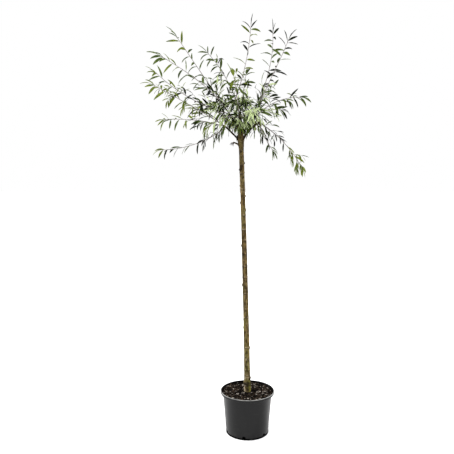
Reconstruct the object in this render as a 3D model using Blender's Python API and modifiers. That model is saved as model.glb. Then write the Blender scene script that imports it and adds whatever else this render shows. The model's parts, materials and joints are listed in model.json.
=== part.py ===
"""A weeping pear grown as a standard: a tall clear stem in a black nursery pot.

Metres, +Z up. The origin is the centre of the pot's flat underside. The photograph's
view looks along +Y, so -X is its left side and -Y its front.
"""

import math

import bmesh
import bpy
import numpy as np
from mathutils import Matrix, Vector

PART = "potted_weeping_pear"

# The gap that every piece keeps to its neighbour.
GAP = 0.0003

# The pot, from its underside up.
POT_HEIGHT = 0.260
POT_FOOT_RADIUS = 0.1275
POT_WALL_TOP_RADIUS = 0.150
POT_WALL = 0.0025
POT_FLOOR = 0.003
FOOT_BAND_HEIGHT = 0.006
FOOT_BAND_STEP = 0.0012
POT_STEPS = 34

# The rim: the wall steps out to a wider ring with a rounded top edge.
RIM_RADIUS = 0.1625
RIM_OPENING = 0.157
RIM_DROP = 0.0155
RIM_SHELF = 0.002
RIM_ROUNDING = 0.0018

# The six drain notches where the wall meets the floor.
NOTCH_COUNT = 6
NOTCH_FIRST_ANGLE = 259.0
NOTCH_WIDTH = 0.015
NOTCH_HEIGHT = 0.015
NOTCH_REACH = 0.016

# The potting bark, heaped a little round the trunk.
SOIL_EDGE_HEIGHT = 0.2475
SOIL_TOP_HEIGHT = 0.2520
SOIL_FLAT_RADIUS = 0.034
SOIL_SHOULDER = (0.65, 0.35)

# The trunk, from the flat cut at the soil to the fork.
TRUNK_FOOT_HEIGHT = SOIL_TOP_HEIGHT + GAP
TRUNK_TOP_HEIGHT = 1.835
TRUNK_LEAN = 0.045
TRUNK_LEAN_CURVE = 1.25
TRUNK_FOOT_RADIUS = 0.0178
TRUNK_TOP_RADIUS = 0.0142
FLARE_RADIUS = 0.0034
FLARE_HEIGHT = 0.11
GRAFT_HEIGHT = 0.304
GRAFT_SWELL = 0.0042
GRAFT_SPREAD = 0.013
FORK_HEIGHT = 1.768
FORK_SWELL = 0.0045
FORK_SPREAD = 0.035
TRUNK_SIDES = 12
CUTTER_RINGS = 9

# The pruned stub under the fork, on the left.
STUB_HEIGHT = 1.726
STUB_AZIMUTH = 196
STUB_RISE = 42
STUB_BEND = -30
STUB_LENGTH = 0.056
STUB_RADII = (0.0060, 0.0038)

# Boughs: height on the trunk, azimuth and rise in degrees, bend, length, radius at the
# trunk and at the tip. Azimuth 0 is +X and 90 is +Y, and a bend changes the rise evenly.
BOUGHS = {
    "bough_left_low": (1.752, 190, 46, -4, 0.125, 0.0056, 0.0048),
    "bough_left": (1.798, 178, 63, -6, 0.135, 0.0078, 0.0068),
    "bough_centre": (1.810, 92, 66, 0, 0.130, 0.0072, 0.0058),
    "bough_right": (1.795, 15, 52, -4, 0.135, 0.0076, 0.0068),
    "bough_right_low": (1.745, 335, 66, -40, 0.165, 0.0060, 0.0052),
    "bough_front": (1.785, 262, 56, -6, 0.130, 0.0066, 0.0056),
    "bough_back": (1.775, 86, 40, 0, 0.140, 0.0070, 0.0060),
}

BOUGH_STEPS = 6
KNUCKLE_ANGLES = (35, 65, 86)

# Foliage: the bough that carries it, then its stem's azimuth, rise, swing, bend and
# length, and how long its side twigs are against the usual. A swing changes the azimuth
# evenly from the bough's tip to the shoot's tip.
FOLIAGE = {
    "foliage_left_rising": ("bough_left", 182, 55, 8, 0, 0.52, 1.0),
    "foliage_left_upper": ("bough_left", 247, 30, -54, -2, 0.555, 1.0),
    "foliage_left_middle": ("bough_left", 152, 15, 20, 28, 0.535, 1.0),
    "foliage_centre_top": ("bough_left", 0, 66, 2, 20, 0.50, 1.0),
    "foliage_left_spray": ("bough_left_low", 218, 26, -45, 3, 0.48, 1.0),
    "foliage_left_level": ("bough_left_low", 150, 16, -4, -17, 0.45, 0.75),
    "foliage_left_weeping": ("bough_left_low", 196, -38, -17, 37, 0.395, 0.45),
    "foliage_centre_back": ("bough_centre", 78, 51, 0, 4, 0.30, 1.0),
    "foliage_right_rising": ("bough_right", 77, 43, -67, 51, 0.575, 1.0),
    "foliage_right_outer": ("bough_right", 290, 52, 71, 16, 0.465, 1.0),
    "foliage_right_level": ("bough_right", 13, 46, 4, -47, 0.31, 0.8),
    "foliage_right_weeping": ("bough_right_low", 3, -31, 2, -30, 0.355, 0.55),
    "foliage_right_inner": ("bough_right_low", 287, -52, 28, 5, 0.205, 0.55),
    "foliage_front": ("bough_front", 263, 40, -1, -9, 0.32, 1.0),
    "foliage_front_left": ("bough_front", 203, 10, 0, -57, 0.20, 1.0),
    "foliage_front_right": ("bough_front", 318, 18, -58, -34, 0.21, 1.0),
    "foliage_back_high": ("bough_back", 157, 79, 6, -33, 0.485, 1.0),
    "foliage_back_left": ("bough_back", 142, 26, -14, -10, 0.37, 1.0),
    "foliage_back_right": ("bough_back", 41, 36, -6, -40, 0.35, 1.0),
}

# Stems and twigs are three-sided.
STEM_RADII = (0.0026, 0.0018)
TWIG_RADII = (0.0021, 0.0017)
STEM_STEPS = 8
TWIG_STEPS = 2
TWIG_SHARES = (0.03, 0.40)
TWIG_SPACING = 0.020
TWIG_LENGTHS = (0.108, 0.058)
TWIG_LEAN = 52
TWIG_DROOP = 25
TWIG_TRIES = (1, 0.6, 0.4)

# Leaves, larger than life so that the crown looks full with few of them.
LEAF_LENGTH = 0.080
LEAF_WIDTH = 0.017
LEAF_SPACING = 0.027
LEAF_LEAN = 48
LEAF_HANG = 0.25
LEAF_ROLL = 70
LEAF_CROWDING = 0.65
STEM_LEAF_SHARES = (0.10, 0.965)
TWIG_LEAF_SHARES = (0.25, 0.90)
TIP_SINK = 0.0012
LEAF_FOOT_WIDTH = 0.0015
LEAF_WIDEST = 0.42
LEAF_KEEL = 0.036
LEAF_ARCH = 0.07
LEAF_DROOP = 0.16
GOLDEN_ANGLE = 137.5
TURN_TRIES = (0, 110, 220)

# How far a leaf keeps to its own side of the middle between two stems, and clear of wood.
SPACE_MARGIN = 0.002
WOOD_MARGIN = 0.0015

# Edges shorter than this, which joining leaves where a leaf meets its twig, are closed up.
SHORTEST_EDGE = 0.0003
SMALLEST_FACE = 1e-10

SEED = 41


def material(name, colour, roughness):
    """A plain finish for one sub-part."""
    made = bpy.data.materials.new(name)
    made.use_nodes = True
    shader = made.node_tree.nodes["Principled BSDF"]
    shader.inputs["Base Color"].default_value = (*colour, 1)
    shader.inputs["Roughness"].default_value = roughness
    shader.inputs["Metallic"].default_value = 0
    return made


def collection(name):
    made = bpy.data.collections.new(name)
    bpy.context.scene.collection.children.link(made)
    return made


def guide(obj, home):
    """Puts a cutter or a profile in its collection, out of the render."""
    home.objects.link(obj)
    obj.hide_render = True
    obj.display_type = "WIRE"
    return obj


def as_mesh(obj):
    """The object's evaluated mesh, its caps and seams merged and its faces outward."""
    graph = bpy.context.evaluated_depsgraph_get()
    mesh = bpy.data.meshes.new_from_object(obj.evaluated_get(graph))
    mesh.transform(obj.matrix_world)
    shape = bmesh.new()
    shape.from_mesh(mesh)
    bmesh.ops.remove_doubles(shape, verts=shape.verts, dist=1e-6)
    bmesh.ops.recalc_face_normals(shape, faces=shape.faces)
    shape.to_mesh(mesh)
    shape.free()
    return mesh


def tube(name, path, radii, home, sides=8, section=None):
    """A tapering limb along a path, as a closed mesh object.

    Without a section it is round, with 8 or 12 sides; with one it has the section's shape.
    """
    curve = bpy.data.curves.new(name, "CURVE")
    curve.dimensions = "3D"
    curve.use_fill_caps = True
    if section:
        curve.bevel_mode = "OBJECT"
        curve.bevel_object = section
    else:
        curve.bevel_depth = 1.0
        curve.bevel_resolution = (sides - 4) // 2
    spline = curve.splines.new("POLY")
    spline.points.add(len(path) - 1)
    for point, place, radius in zip(spline.points, path, radii):
        point.co = (*place, 1)
        point.radius = radius
    line = bpy.data.objects.new(name + "_line", curve)
    home.objects.link(line)
    bpy.context.view_layer.update()
    made = bpy.data.objects.new(name, as_mesh(line))
    bpy.data.objects.remove(line)
    home.objects.link(made)
    return made


def shaded_round(obj, sharp=40):
    obj.data.shade_smooth()
    obj.data.set_sharp_from_angle(angle=math.radians(sharp))


def boolean(obj, operation, other=None, group=None):
    """Adds a Boolean with one object or a whole collection."""
    change = obj.modifiers.new(operation.lower(), "BOOLEAN")
    change.operation = operation
    change.solver = "EXACT"
    if group:
        change.operand_type = "COLLECTION"
        change.collection = group
    else:
        change.object = other
    return change


def heading(azimuth, rise):
    azimuth, rise = np.radians(azimuth), np.radians(rise)
    level = np.cos(rise)
    return np.stack([level * np.cos(azimuth), level * np.sin(azimuth), np.sin(rise)], -1)


def shoot_path(start, azimuth, rise, swing, bend, length, steps):
    """The middle line of a limb: its azimuth and its rise change evenly along it."""
    share = (np.arange(steps) + 0.5) / steps
    step = heading(azimuth + swing * share, rise + bend * share) * length / steps
    return np.vstack([start, start + np.cumsum(step, axis=0)])


def along(path, share):
    """The place at a share of the path, and the direction there."""
    place = share * (len(path) - 1)
    first = min(int(place), len(path) - 2)
    run = path[first + 1] - path[first]
    return path[first] + run * (place - first), run / np.linalg.norm(run)


def turned(direction, lean, spin):
    """A direction leaned away from another by some degrees, on the side that spin gives."""
    across = np.cross(direction, (0, 0, 1))
    if np.linalg.norm(across) < 0.05:
        across = np.cross(direction, (0, 1, 0))
    across /= np.linalg.norm(across)
    upward = np.cross(across, direction)
    lean, spin = math.radians(lean), math.radians(spin)
    side = across * math.cos(spin) + upward * math.sin(spin)
    return direction * math.cos(lean) + side * math.sin(lean)


def distance_to(points, path):
    """The distance from each point to the nearest place on a line of straight pieces."""
    start, run = path[:-1], np.diff(path, axis=0)
    offset = points[:, None] - start
    share = np.clip((offset * run).sum(-1) / (run * run).sum(-1), 0, 1)
    return np.linalg.norm(offset - share[..., None] * run, axis=-1).min(1)


def trunk_centre(height):
    share = (height - TRUNK_FOOT_HEIGHT) / (TRUNK_TOP_HEIGHT - TRUNK_FOOT_HEIGHT)
    lean = np.maximum(share, 0) ** TRUNK_LEAN_CURVE
    return np.stack([-TRUNK_LEAN * lean, 0 * share, height + 0 * share], -1)


def trunk_radius(height):
    """An even taper, with the root flare, the graft's knob and the swelling of the fork."""
    share = (height - TRUNK_FOOT_HEIGHT) / (TRUNK_TOP_HEIGHT - TRUNK_FOOT_HEIGHT)
    taper = TRUNK_FOOT_RADIUS + (TRUNK_TOP_RADIUS - TRUNK_FOOT_RADIUS) * share
    flare = FLARE_RADIUS * np.exp((TRUNK_FOOT_HEIGHT - height) / FLARE_HEIGHT)
    graft = GRAFT_SWELL * np.exp(-(((height - GRAFT_HEIGHT) / GRAFT_SPREAD) ** 2))
    fork = FORK_SWELL * np.exp(-(((height - FORK_HEIGHT) / FORK_SPREAD) ** 2))
    return taper + flare + graft + fork


def trunk_heights():
    """Close rings at the flare, the graft and the fork, and wider ones between."""
    foot = np.linspace(TRUNK_FOOT_HEIGHT, 0.342, 9)
    middle = np.linspace(0.44, 1.66, 8)
    fork = np.linspace(1.70, TRUNK_TOP_HEIGHT, 6)
    return np.concatenate([foot, middle, fork])


def turned_solid(name, profile, home, steps):
    """A profile of radius and height, turned about Z."""
    mesh = bpy.data.meshes.new(name)
    points = [(radius, 0, height) for radius, height in profile]
    edges = [(i, i + 1) for i in range(len(points) - 1)]
    mesh.from_pydata(points, edges, [])
    made = bpy.data.objects.new(name, mesh)
    home.objects.link(made)
    screw = made.modifiers.new("turn", "SCREW")
    screw.steps = steps
    screw.render_steps = steps
    screw.use_merge_vertices = True
    screw.merge_threshold = 1e-5
    screw.use_smooth_shade = True
    return made


def wall_radius(height):
    """The outside of the pot's wall, which widens evenly to the rim."""
    return POT_FOOT_RADIUS + (POT_WALL_TOP_RADIUS - POT_FOOT_RADIUS) * height / POT_HEIGHT


def make_pot(home, cutters):
    """The wall, the floor and the rim's wider ring, cut by the drain notches."""
    under_rim = POT_HEIGHT - RIM_DROP
    shelf = under_rim + RIM_SHELF
    band = FOOT_BAND_HEIGHT
    profile = [
        (0, POT_FLOOR),
        (wall_radius(POT_FLOOR) - POT_WALL, POT_FLOOR),
        (wall_radius(shelf) - POT_WALL, shelf),
        (RIM_OPENING, shelf),
        (RIM_OPENING, POT_HEIGHT - RIM_ROUNDING),
        (RIM_OPENING + RIM_ROUNDING, POT_HEIGHT),
        (RIM_RADIUS - RIM_ROUNDING, POT_HEIGHT),
        (RIM_RADIUS, POT_HEIGHT - RIM_ROUNDING),
        (RIM_RADIUS, under_rim),
        (wall_radius(under_rim), under_rim),
        (wall_radius(band), band),
        (wall_radius(band) + FOOT_BAND_STEP, band - FOOT_BAND_STEP),
        (POT_FOOT_RADIUS + FOOT_BAND_STEP, 0),
        (0, 0),
    ]
    pot = turned_solid("pot", profile, home, POT_STEPS)
    pot.data.materials.append(material("pot_plastic", (0.022, 0.022, 0.024), 0.42))
    for i in range(NOTCH_COUNT):
        angle = math.radians(NOTCH_FIRST_ANGLE + i * 360 / NOTCH_COUNT)
        shape = bmesh.new()
        bmesh.ops.create_cube(shape, size=1)
        size = (NOTCH_REACH, NOTCH_WIDTH, 2 * NOTCH_HEIGHT)
        bmesh.ops.scale(shape, vec=size, verts=shape.verts)
        mesh = bpy.data.meshes.new("notch")
        shape.to_mesh(mesh)
        shape.free()
        notch = guide(bpy.data.objects.new(f"notch_{i + 1}", mesh), cutters)
        notch.location = Vector((math.cos(angle), math.sin(angle), 0)) * POT_FOOT_RADIUS
        notch.rotation_euler = (0, 0, angle)
        boolean(pot, "DIFFERENCE", notch)
    return pot


def make_soil(home):
    """Bark compost that fills the pot to just over the shelf under its rim."""
    edge = RIM_OPENING - GAP
    shelf = POT_HEIGHT - RIM_DROP + RIM_SHELF
    inside = wall_radius(shelf) - POT_WALL - GAP
    bottom = wall_radius(POT_FLOOR + GAP) - POT_WALL - GAP
    heap = SOIL_TOP_HEIGHT - SOIL_EDGE_HEIGHT
    profile = [
        (0, SOIL_TOP_HEIGHT),
        (SOIL_FLAT_RADIUS, SOIL_TOP_HEIGHT),
        (edge * SOIL_SHOULDER[0], SOIL_EDGE_HEIGHT + heap * SOIL_SHOULDER[1]),
        (edge, SOIL_EDGE_HEIGHT),
        (edge, shelf + GAP),
        (inside, shelf + GAP),
        (bottom, POT_FLOOR + GAP),
        (0, POT_FLOOR + GAP),
    ]
    soil = turned_solid("soil", profile, home, POT_STEPS)
    soil.data.materials.append(material("potting_bark", (0.026, 0.019, 0.013), 0.95))
    return soil


def make_trunk(home, bark):
    """The clear stem, with the pruned stub joined to it."""
    heights = trunk_heights()
    radii = trunk_radius(heights)
    trunk = tube("trunk", trunk_centre(heights), radii, home, sides=TRUNK_SIDES)
    start = trunk_centre(STUB_HEIGHT)
    path = shoot_path(start, STUB_AZIMUTH, STUB_RISE, 0, STUB_BEND, STUB_LENGTH, 3)
    stub = tube("stub", path, np.linspace(*STUB_RADII, len(path)), home)
    boolean(trunk, "UNION", stub)
    joined = as_mesh(trunk)
    trunk.modifiers.clear()
    trunk.data = joined
    bpy.data.objects.remove(stub)
    trunk.data.materials.append(bark)
    shaded_round(trunk, 60)
    return trunk


def make_trunk_cutter(cutters):
    """The trunk a gap wider all round, which the foot of each bough is cut by."""
    heights = trunk_heights()[-CUTTER_RINGS:]
    radii = trunk_radius(heights) + GAP / math.cos(math.pi / TRUNK_SIDES)
    heights[-1] += GAP
    path = trunk_centre(heights)
    cutter = tube("trunk_clearance", path, radii, cutters, sides=TRUNK_SIDES)
    cutter.hide_render = True
    cutter.display_type = "WIRE"
    return cutter


def bough_paths():
    paths = {}
    for name, (height, azimuth, rise, bend, length, _, _) in BOUGHS.items():
        start = trunk_centre(height)
        paths[name] = shoot_path(start, azimuth, rise, 0, bend, length, BOUGH_STEPS)
    return paths


def make_bough(name, path, home, cutter, bark):
    """One tapering limb, fitted to the trunk, with a rounded knuckle at its tip."""
    foot, tip = BOUGHS[name][5:]
    radii = list(np.linspace(foot, tip, len(path)))
    direction = (path[-1] - path[-2]) / np.linalg.norm(path[-1] - path[-2])
    for angle in np.radians(KNUCKLE_ANGLES):
        path = np.vstack([path, path[BOUGH_STEPS] + direction * tip * np.sin(angle)])
        radii.append(tip * np.cos(angle))
    bough = tube(name, path, radii, home)
    boolean(bough, "DIFFERENCE", cutter)
    bough.data.materials.append(bark)
    shaded_round(bough, 60)
    return bough


def make_leaf_mesh():
    """One arched lance-shaped leaf of unit length along X, three-sided.

    It runs from a small triangle at its foot through a wide, shallow one to its point.
    Both triangles have the same shape, which keeps its sides flat.
    """
    half = LEAF_WIDTH / LEAF_LENGTH / 2
    foot = LEAF_FOOT_WIDTH / LEAF_WIDTH
    section = np.array([(0, half, 0), (0, -half, 0), (0, 0, -LEAF_KEEL)])
    middle = section + (LEAF_WIDEST, 0, LEAF_ARCH)
    points = np.vstack([section * foot, middle, (1, 0, -LEAF_DROOP)])
    sides = [(0, 1, 4, 3), (1, 2, 5, 4), (2, 0, 3, 5)]
    tips = [(3, 4, 6), (4, 5, 6), (5, 3, 6)]
    mesh = bpy.data.meshes.new("leaf")
    mesh.from_pydata(points, [], [(2, 1, 0), *sides, *tips])
    shape = bmesh.new()
    shape.from_mesh(mesh)
    bmesh.ops.recalc_face_normals(shape, faces=shape.faces)
    shape.to_mesh(mesh)
    shape.free()
    return mesh


def leaf_matrix(place, direction, size, roll=0):
    """Stands a leaf on its twig, its upper side as near up as its direction and roll allow."""
    ahead = Vector(direction).normalized()
    across = Vector((0, 0, 1)).cross(ahead)
    if across.length < 0.1:
        across = Vector((0, 1, 0)).cross(ahead)
    across.normalize()
    up = ahead.cross(across)
    turn = Matrix((ahead, across, up)).transposed() @ Matrix.Rotation(math.radians(roll), 3, "X")
    return Matrix.Translation(Vector(place)) @ turn.to_4x4() @ Matrix.Scale(size, 4)


def placed(points, matrix):
    turn = np.array(matrix)
    return points @ turn[:3, :3].T + turn[:3, 3]


class Space:
    """Where each mass may grow: nearer its own stem than any other, and clear of wood."""

    def __init__(self, stems, wood):
        self.stems = stems
        self.wood = wood

    def holds(self, name, points, thickness):
        own = distance_to(points, self.stems[name])
        for other, path in self.stems.items():
            if other == name:
                continue
            if (distance_to(points, path) < own + 2 * (SPACE_MARGIN + thickness)).any():
                return False
        for path, radius in self.wood:
            if (distance_to(points, path) < radius + thickness + WOOD_MARGIN).any():
                return False
        return True


def fitting_twig(name, root, lean, spin, longest, space):
    """The longest twig of a few lengths and sides that keeps to its space, or None."""
    place, direction = root
    for length in longest * np.array(TWIG_TRIES):
        for turn in TURN_TRIES:
            way = turned(direction, lean, spin + turn)
            azimuth = math.degrees(math.atan2(way[1], way[0]))
            rise = math.degrees(math.asin(way[2]))
            path = shoot_path(place, azimuth, rise, 0, -TWIG_DROOP, length, TWIG_STEPS)
            if space.holds(name, path, TWIG_RADII[0]):
                return path
    return None


def grow(name, stem, space, leaf_mesh, random):
    """The twigs and leaves of one mass: their paths, and the leaves' matrices.

    Side twigs leave the stem by the golden angle, longest near the head. Leaves leave
    the stem and the twigs the same way, nearer together towards the tip, and hang a little.
    Each tip ends in a leaf.
    """
    length, side = FOLIAGE[name][5:]
    outline = np.array([vertex.co for vertex in leaf_mesh.vertices])
    foot, middle, tip = outline[:3], outline[3:6], outline[6]
    samples = np.vstack([outline, (foot + middle) / 2, (middle + tip) / 2])
    first, last = TWIG_SHARES
    count = max(3, round(length * (last - first) / TWIG_SPACING))
    spin = random.uniform(0, 360)
    twigs = []
    for i in range(count):
        share = first + (last - first) * (i + random.uniform(0.2, 0.8)) / count
        spin += GOLDEN_ANGLE
        lean = TWIG_LEAN + random.uniform(-10, 10)
        longest = side * (TWIG_LENGTHS[0] + (TWIG_LENGTHS[1] - TWIG_LENGTHS[0]) * i / count)
        twig = fitting_twig(name, along(stem, share), lean, spin, longest, space)
        if twig is not None:
            twigs.append(twig)
    leaves = []
    for line in [stem, *twigs]:
        reach = np.linalg.norm(np.diff(line, axis=0), axis=1).sum()
        first, last = STEM_LEAF_SHARES if line is stem else TWIG_LEAF_SHARES
        count = max(2, round(reach * (last - first) / LEAF_SPACING))
        spin = random.uniform(0, 360)
        for share in first + (last - first) * np.linspace(0, 1, count) ** LEAF_CROWDING:
            place, direction = along(line, share)
            spin += GOLDEN_ANGLE
            lean = LEAF_LEAN + random.uniform(-12, 12)
            size = LEAF_LENGTH * random.uniform(0.82, 1.12)
            roll = random.uniform(-LEAF_ROLL, LEAF_ROLL)
            for turn in TURN_TRIES:
                way = turned(direction, lean, spin + turn) - (0, 0, LEAF_HANG)
                leaf = leaf_matrix(place, way, size, roll)
                if space.holds(name, placed(samples, leaf), 0):
                    leaves.append(leaf)
                    break
        tip, direction = along(line, 1)
        leaf = leaf_matrix(tip - direction * TIP_SINK, direction, LEAF_LENGTH)
        if space.holds(name, placed(samples, leaf), 0):
            leaves.append(leaf)
    return twigs, leaves


def is_sound(shape):
    """True where every edge and corner is closed and no two faces lie back to back."""
    if not all(part.is_manifold for part in [*shape.edges, *shape.verts]):
        return False
    corners = {frozenset(face.verts) for face in shape.faces}
    thin = [face for face in shape.faces if face.calc_area() < SMALLEST_FACE]
    return len(corners) == len(shape.faces) and not thin


def outer_skin(mesh):
    """Keeps the largest closed piece: what is left out is a scrap or a sealed hollow."""
    shape = bmesh.new()
    shape.from_mesh(mesh)
    left = set(shape.verts)
    groups = []
    while left:
        edge = [left.pop()]
        group = set(edge)
        while edge:
            for link in edge.pop().link_edges:
                for vertex in link.verts:
                    if vertex not in group:
                        group.add(vertex)
                        left.discard(vertex)
                        edge.append(vertex)
        groups.append(group)
    groups.sort(key=len)
    for group in groups[:-1]:
        bmesh.ops.delete(shape, geom=list(group), context="VERTS")
    bmesh.ops.triangulate(shape, faces=shape.faces)
    shape.to_mesh(mesh)
    bmesh.ops.dissolve_degenerate(shape, dist=SHORTEST_EDGE, edges=shape.edges)
    bmesh.ops.triangulate(shape, faces=shape.faces)
    if is_sound(shape):
        shape.to_mesh(mesh)
    shape.free()


def make_foliage(name, stem, space, leaf_mesh, section, home, finish):
    """One mass: a stem with side twigs and leaves, all joined into one solid."""
    random = np.random.default_rng([SEED, list(FOLIAGE).index(name)])
    twigs, leaves = grow(name, stem, space, leaf_mesh, random)
    made = tube(name, stem, np.linspace(*STEM_RADII, len(stem)), home, section=section)
    joined = collection(name + "_pieces")
    for i, path in enumerate(twigs):
        radii = np.linspace(*TWIG_RADII, len(path))
        tube(f"{name}_twig_{i}", path, radii, joined, section=section)
    for i, matrix in enumerate(leaves):
        mesh = leaf_mesh.copy()
        mesh.transform(matrix)
        joined.objects.link(bpy.data.objects.new(f"{name}_leaf_{i}", mesh))
    boolean(made, "UNION", group=joined)
    mesh = as_mesh(made)
    made.modifiers.clear()
    made.data = mesh
    outer_skin(mesh)
    for piece in list(joined.objects):
        bpy.data.objects.remove(piece)
    bpy.data.collections.remove(joined)
    mesh.materials.clear()
    mesh.materials.append(finish)
    return len(twigs), len(leaves)


def main():
    for obj in list(bpy.data.objects):
        bpy.data.objects.remove(obj)
    parts = collection(PART)
    cutters = collection("cutters")
    bark = material("bark", (0.125, 0.088, 0.040), 0.85)
    leaf_green = material("leaf_green", (0.205, 0.250, 0.150), 0.6)

    make_pot(parts, cutters)
    make_soil(parts)
    make_trunk(parts, bark)
    cutter = make_trunk_cutter(cutters)
    boughs = bough_paths()
    for name, path in boughs.items():
        make_bough(name, path, parts, cutter, bark)

    triangle = bpy.data.curves.new("twig_section", "CURVE")
    spline = triangle.splines.new("POLY")
    spline.points.add(2)
    for i, point in enumerate(spline.points):
        angle = math.radians(90 + 120 * i)
        point.co = (math.cos(angle), math.sin(angle), 0, 1)
    spline.use_cyclic_u = True
    section = guide(bpy.data.objects.new("twig_section", triangle), cutters)

    stems = {}
    for name, (bough, azimuth, rise, swing, bend, length, _) in FOLIAGE.items():
        clear = BOUGHS[bough][6] + GAP
        start = boughs[bough][-1] + heading(azimuth, rise) * clear
        stems[name] = shoot_path(start, azimuth, rise, swing, bend, length, STEM_STEPS)
    wood = [(trunk_centre(trunk_heights()), TRUNK_TOP_RADIUS + FORK_SWELL)]
    wood += [(path, BOUGHS[name][5]) for name, path in boughs.items()]
    space = Space(stems, wood)
    leaf_mesh = make_leaf_mesh()
    total = 0
    for name, stem in stems.items():
        twigs, leaves = make_foliage(name, stem, space, leaf_mesh, section, parts, leaf_green)
        total += leaves
        print(f"{name}: {twigs} twigs, {leaves} leaves")
    print(f"{total} leaves in all")


main()
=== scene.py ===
# A weeping pear standard in its nursery pot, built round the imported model.
# Metres, +Z up, with the origin under the middle of the pot. -X is the photo's left and -Y its front.

import json
import math
from functools import partialmethod

import bpy
import numpy as np
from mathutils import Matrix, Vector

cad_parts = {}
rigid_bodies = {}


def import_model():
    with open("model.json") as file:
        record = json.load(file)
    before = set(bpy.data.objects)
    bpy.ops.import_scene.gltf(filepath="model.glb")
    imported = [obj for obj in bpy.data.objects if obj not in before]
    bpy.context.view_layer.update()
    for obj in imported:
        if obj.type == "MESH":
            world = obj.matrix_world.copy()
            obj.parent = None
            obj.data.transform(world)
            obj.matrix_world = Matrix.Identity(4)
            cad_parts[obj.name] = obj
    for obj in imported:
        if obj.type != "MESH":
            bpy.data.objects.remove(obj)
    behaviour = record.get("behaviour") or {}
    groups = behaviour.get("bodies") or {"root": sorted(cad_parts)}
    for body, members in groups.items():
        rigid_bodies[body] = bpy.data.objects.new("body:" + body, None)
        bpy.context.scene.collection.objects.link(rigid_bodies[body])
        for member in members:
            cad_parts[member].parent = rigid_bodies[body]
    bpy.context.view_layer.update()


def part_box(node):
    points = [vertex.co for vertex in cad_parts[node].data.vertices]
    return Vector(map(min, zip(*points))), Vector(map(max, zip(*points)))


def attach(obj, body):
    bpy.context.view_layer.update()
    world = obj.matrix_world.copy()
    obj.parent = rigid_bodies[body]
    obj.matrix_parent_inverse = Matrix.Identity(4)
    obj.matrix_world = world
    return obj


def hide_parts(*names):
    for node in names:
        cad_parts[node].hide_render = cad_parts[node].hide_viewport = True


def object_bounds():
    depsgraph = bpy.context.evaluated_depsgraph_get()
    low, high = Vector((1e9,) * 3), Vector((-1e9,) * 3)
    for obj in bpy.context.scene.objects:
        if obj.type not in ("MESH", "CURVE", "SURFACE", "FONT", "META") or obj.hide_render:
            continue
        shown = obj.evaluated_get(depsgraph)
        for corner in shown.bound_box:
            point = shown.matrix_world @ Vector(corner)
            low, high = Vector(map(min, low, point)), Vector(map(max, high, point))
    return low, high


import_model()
gap = 0.0003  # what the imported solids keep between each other


# Shader maths

class Wire:
    # A socket that can be used in an expression: each operator adds one Math node

    def __init__(self, sheet, socket):
        self.sheet = sheet
        self.socket = socket

    def worked(self, operation, other, swapped=False):
        first, second = (other, self) if swapped else (self, other)
        return self.sheet.add("ShaderNodeMath", {"operation": operation}, {0: first, 1: second})

    __add__ = partialmethod(worked, "ADD")
    __radd__ = partialmethod(worked, "ADD", swapped=True)
    __sub__ = partialmethod(worked, "SUBTRACT")
    __rsub__ = partialmethod(worked, "SUBTRACT", swapped=True)
    __mul__ = partialmethod(worked, "MULTIPLY")
    __rmul__ = partialmethod(worked, "MULTIPLY", swapped=True)
    __pow__ = partialmethod(worked, "POWER")


class Sheet:
    # The nodes of one material, with its constants set straight on the shader

    def __init__(self, name, specular):
        self.material = bpy.data.materials.new(name)
        self.material.use_nodes = True
        self.tree = self.material.node_tree
        self.shader = self.tree.nodes["Principled BSDF"]
        self.feed(self.shader, {"Specular IOR Level": specular})

    def feed(self, node, sockets):
        for key, value in sockets.items():
            if isinstance(value, Wire):
                self.tree.links.new(value.socket, node.inputs[key])
            else:
                node.inputs[key].default_value = value

    def add(self, kind, settings, sockets, output=0):
        node = self.tree.nodes.new(kind)
        for key, value in settings.items():
            setattr(node, key, value)
        self.feed(node, sockets)
        return Wire(self, node.outputs[output])

    def place(self, stretch=(1, 1, 1)):
        spot = self.add("ShaderNodeTexCoord", {}, {}, "Object")
        return self.add("ShaderNodeMapping", {}, {"Vector": spot, "Scale": stretch})

    def noise(self, scale, detail=3.0, roughness=0.55, stretch=(1, 1, 1)):
        sockets = {"Vector": self.place(stretch), "Scale": scale, "Detail": detail, "Roughness": roughness}
        return self.add("ShaderNodeTexNoise", {}, sockets)

    def between(self, value, low, high):
        # 0 at low, 1 at high, and smooth between them
        sockets = {"Value": value, "From Min": low, "From Max": high}
        return self.add("ShaderNodeMapRange", {"interpolation_type": "SMOOTHSTEP"}, sockets)

    def value(self, name):
        return self.add("ShaderNodeAttribute", {"attribute_name": name}, {}, "Fac")

    def blend(self, share, *colours):
        first, second = (colour if isinstance(colour, Wire) else (*colour, 1) for colour in colours)
        return self.add("ShaderNodeMix", {"data_type": "RGBA"}, {0: share, 6: first, 7: second}, 2)

    def fourfold(self, side, share, colours):
        # Two pairs of colours, blended within each pair by the share and between them by the side
        return self.blend(side, self.blend(share, *colours[:2]), self.blend(share, *colours[2:]))

    def layered(self, colour, *layers):
        # Each further colour covers the last ones by its share
        for share, tint in layers:
            colour = self.blend(share, colour, tint)
        return colour

    def finished(self, colour, roughness, relief=None, distance=0.0, strength=0.0):
        self.feed(self.shader, {"Base Color": colour, "Roughness": roughness})
        if relief:
            sockets = {"Height": relief, "Distance": distance, "Strength": strength}
            self.feed(self.shader, {"Normal": self.add("ShaderNodeBump", {}, sockets)})
        return self


# Meshes

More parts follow.
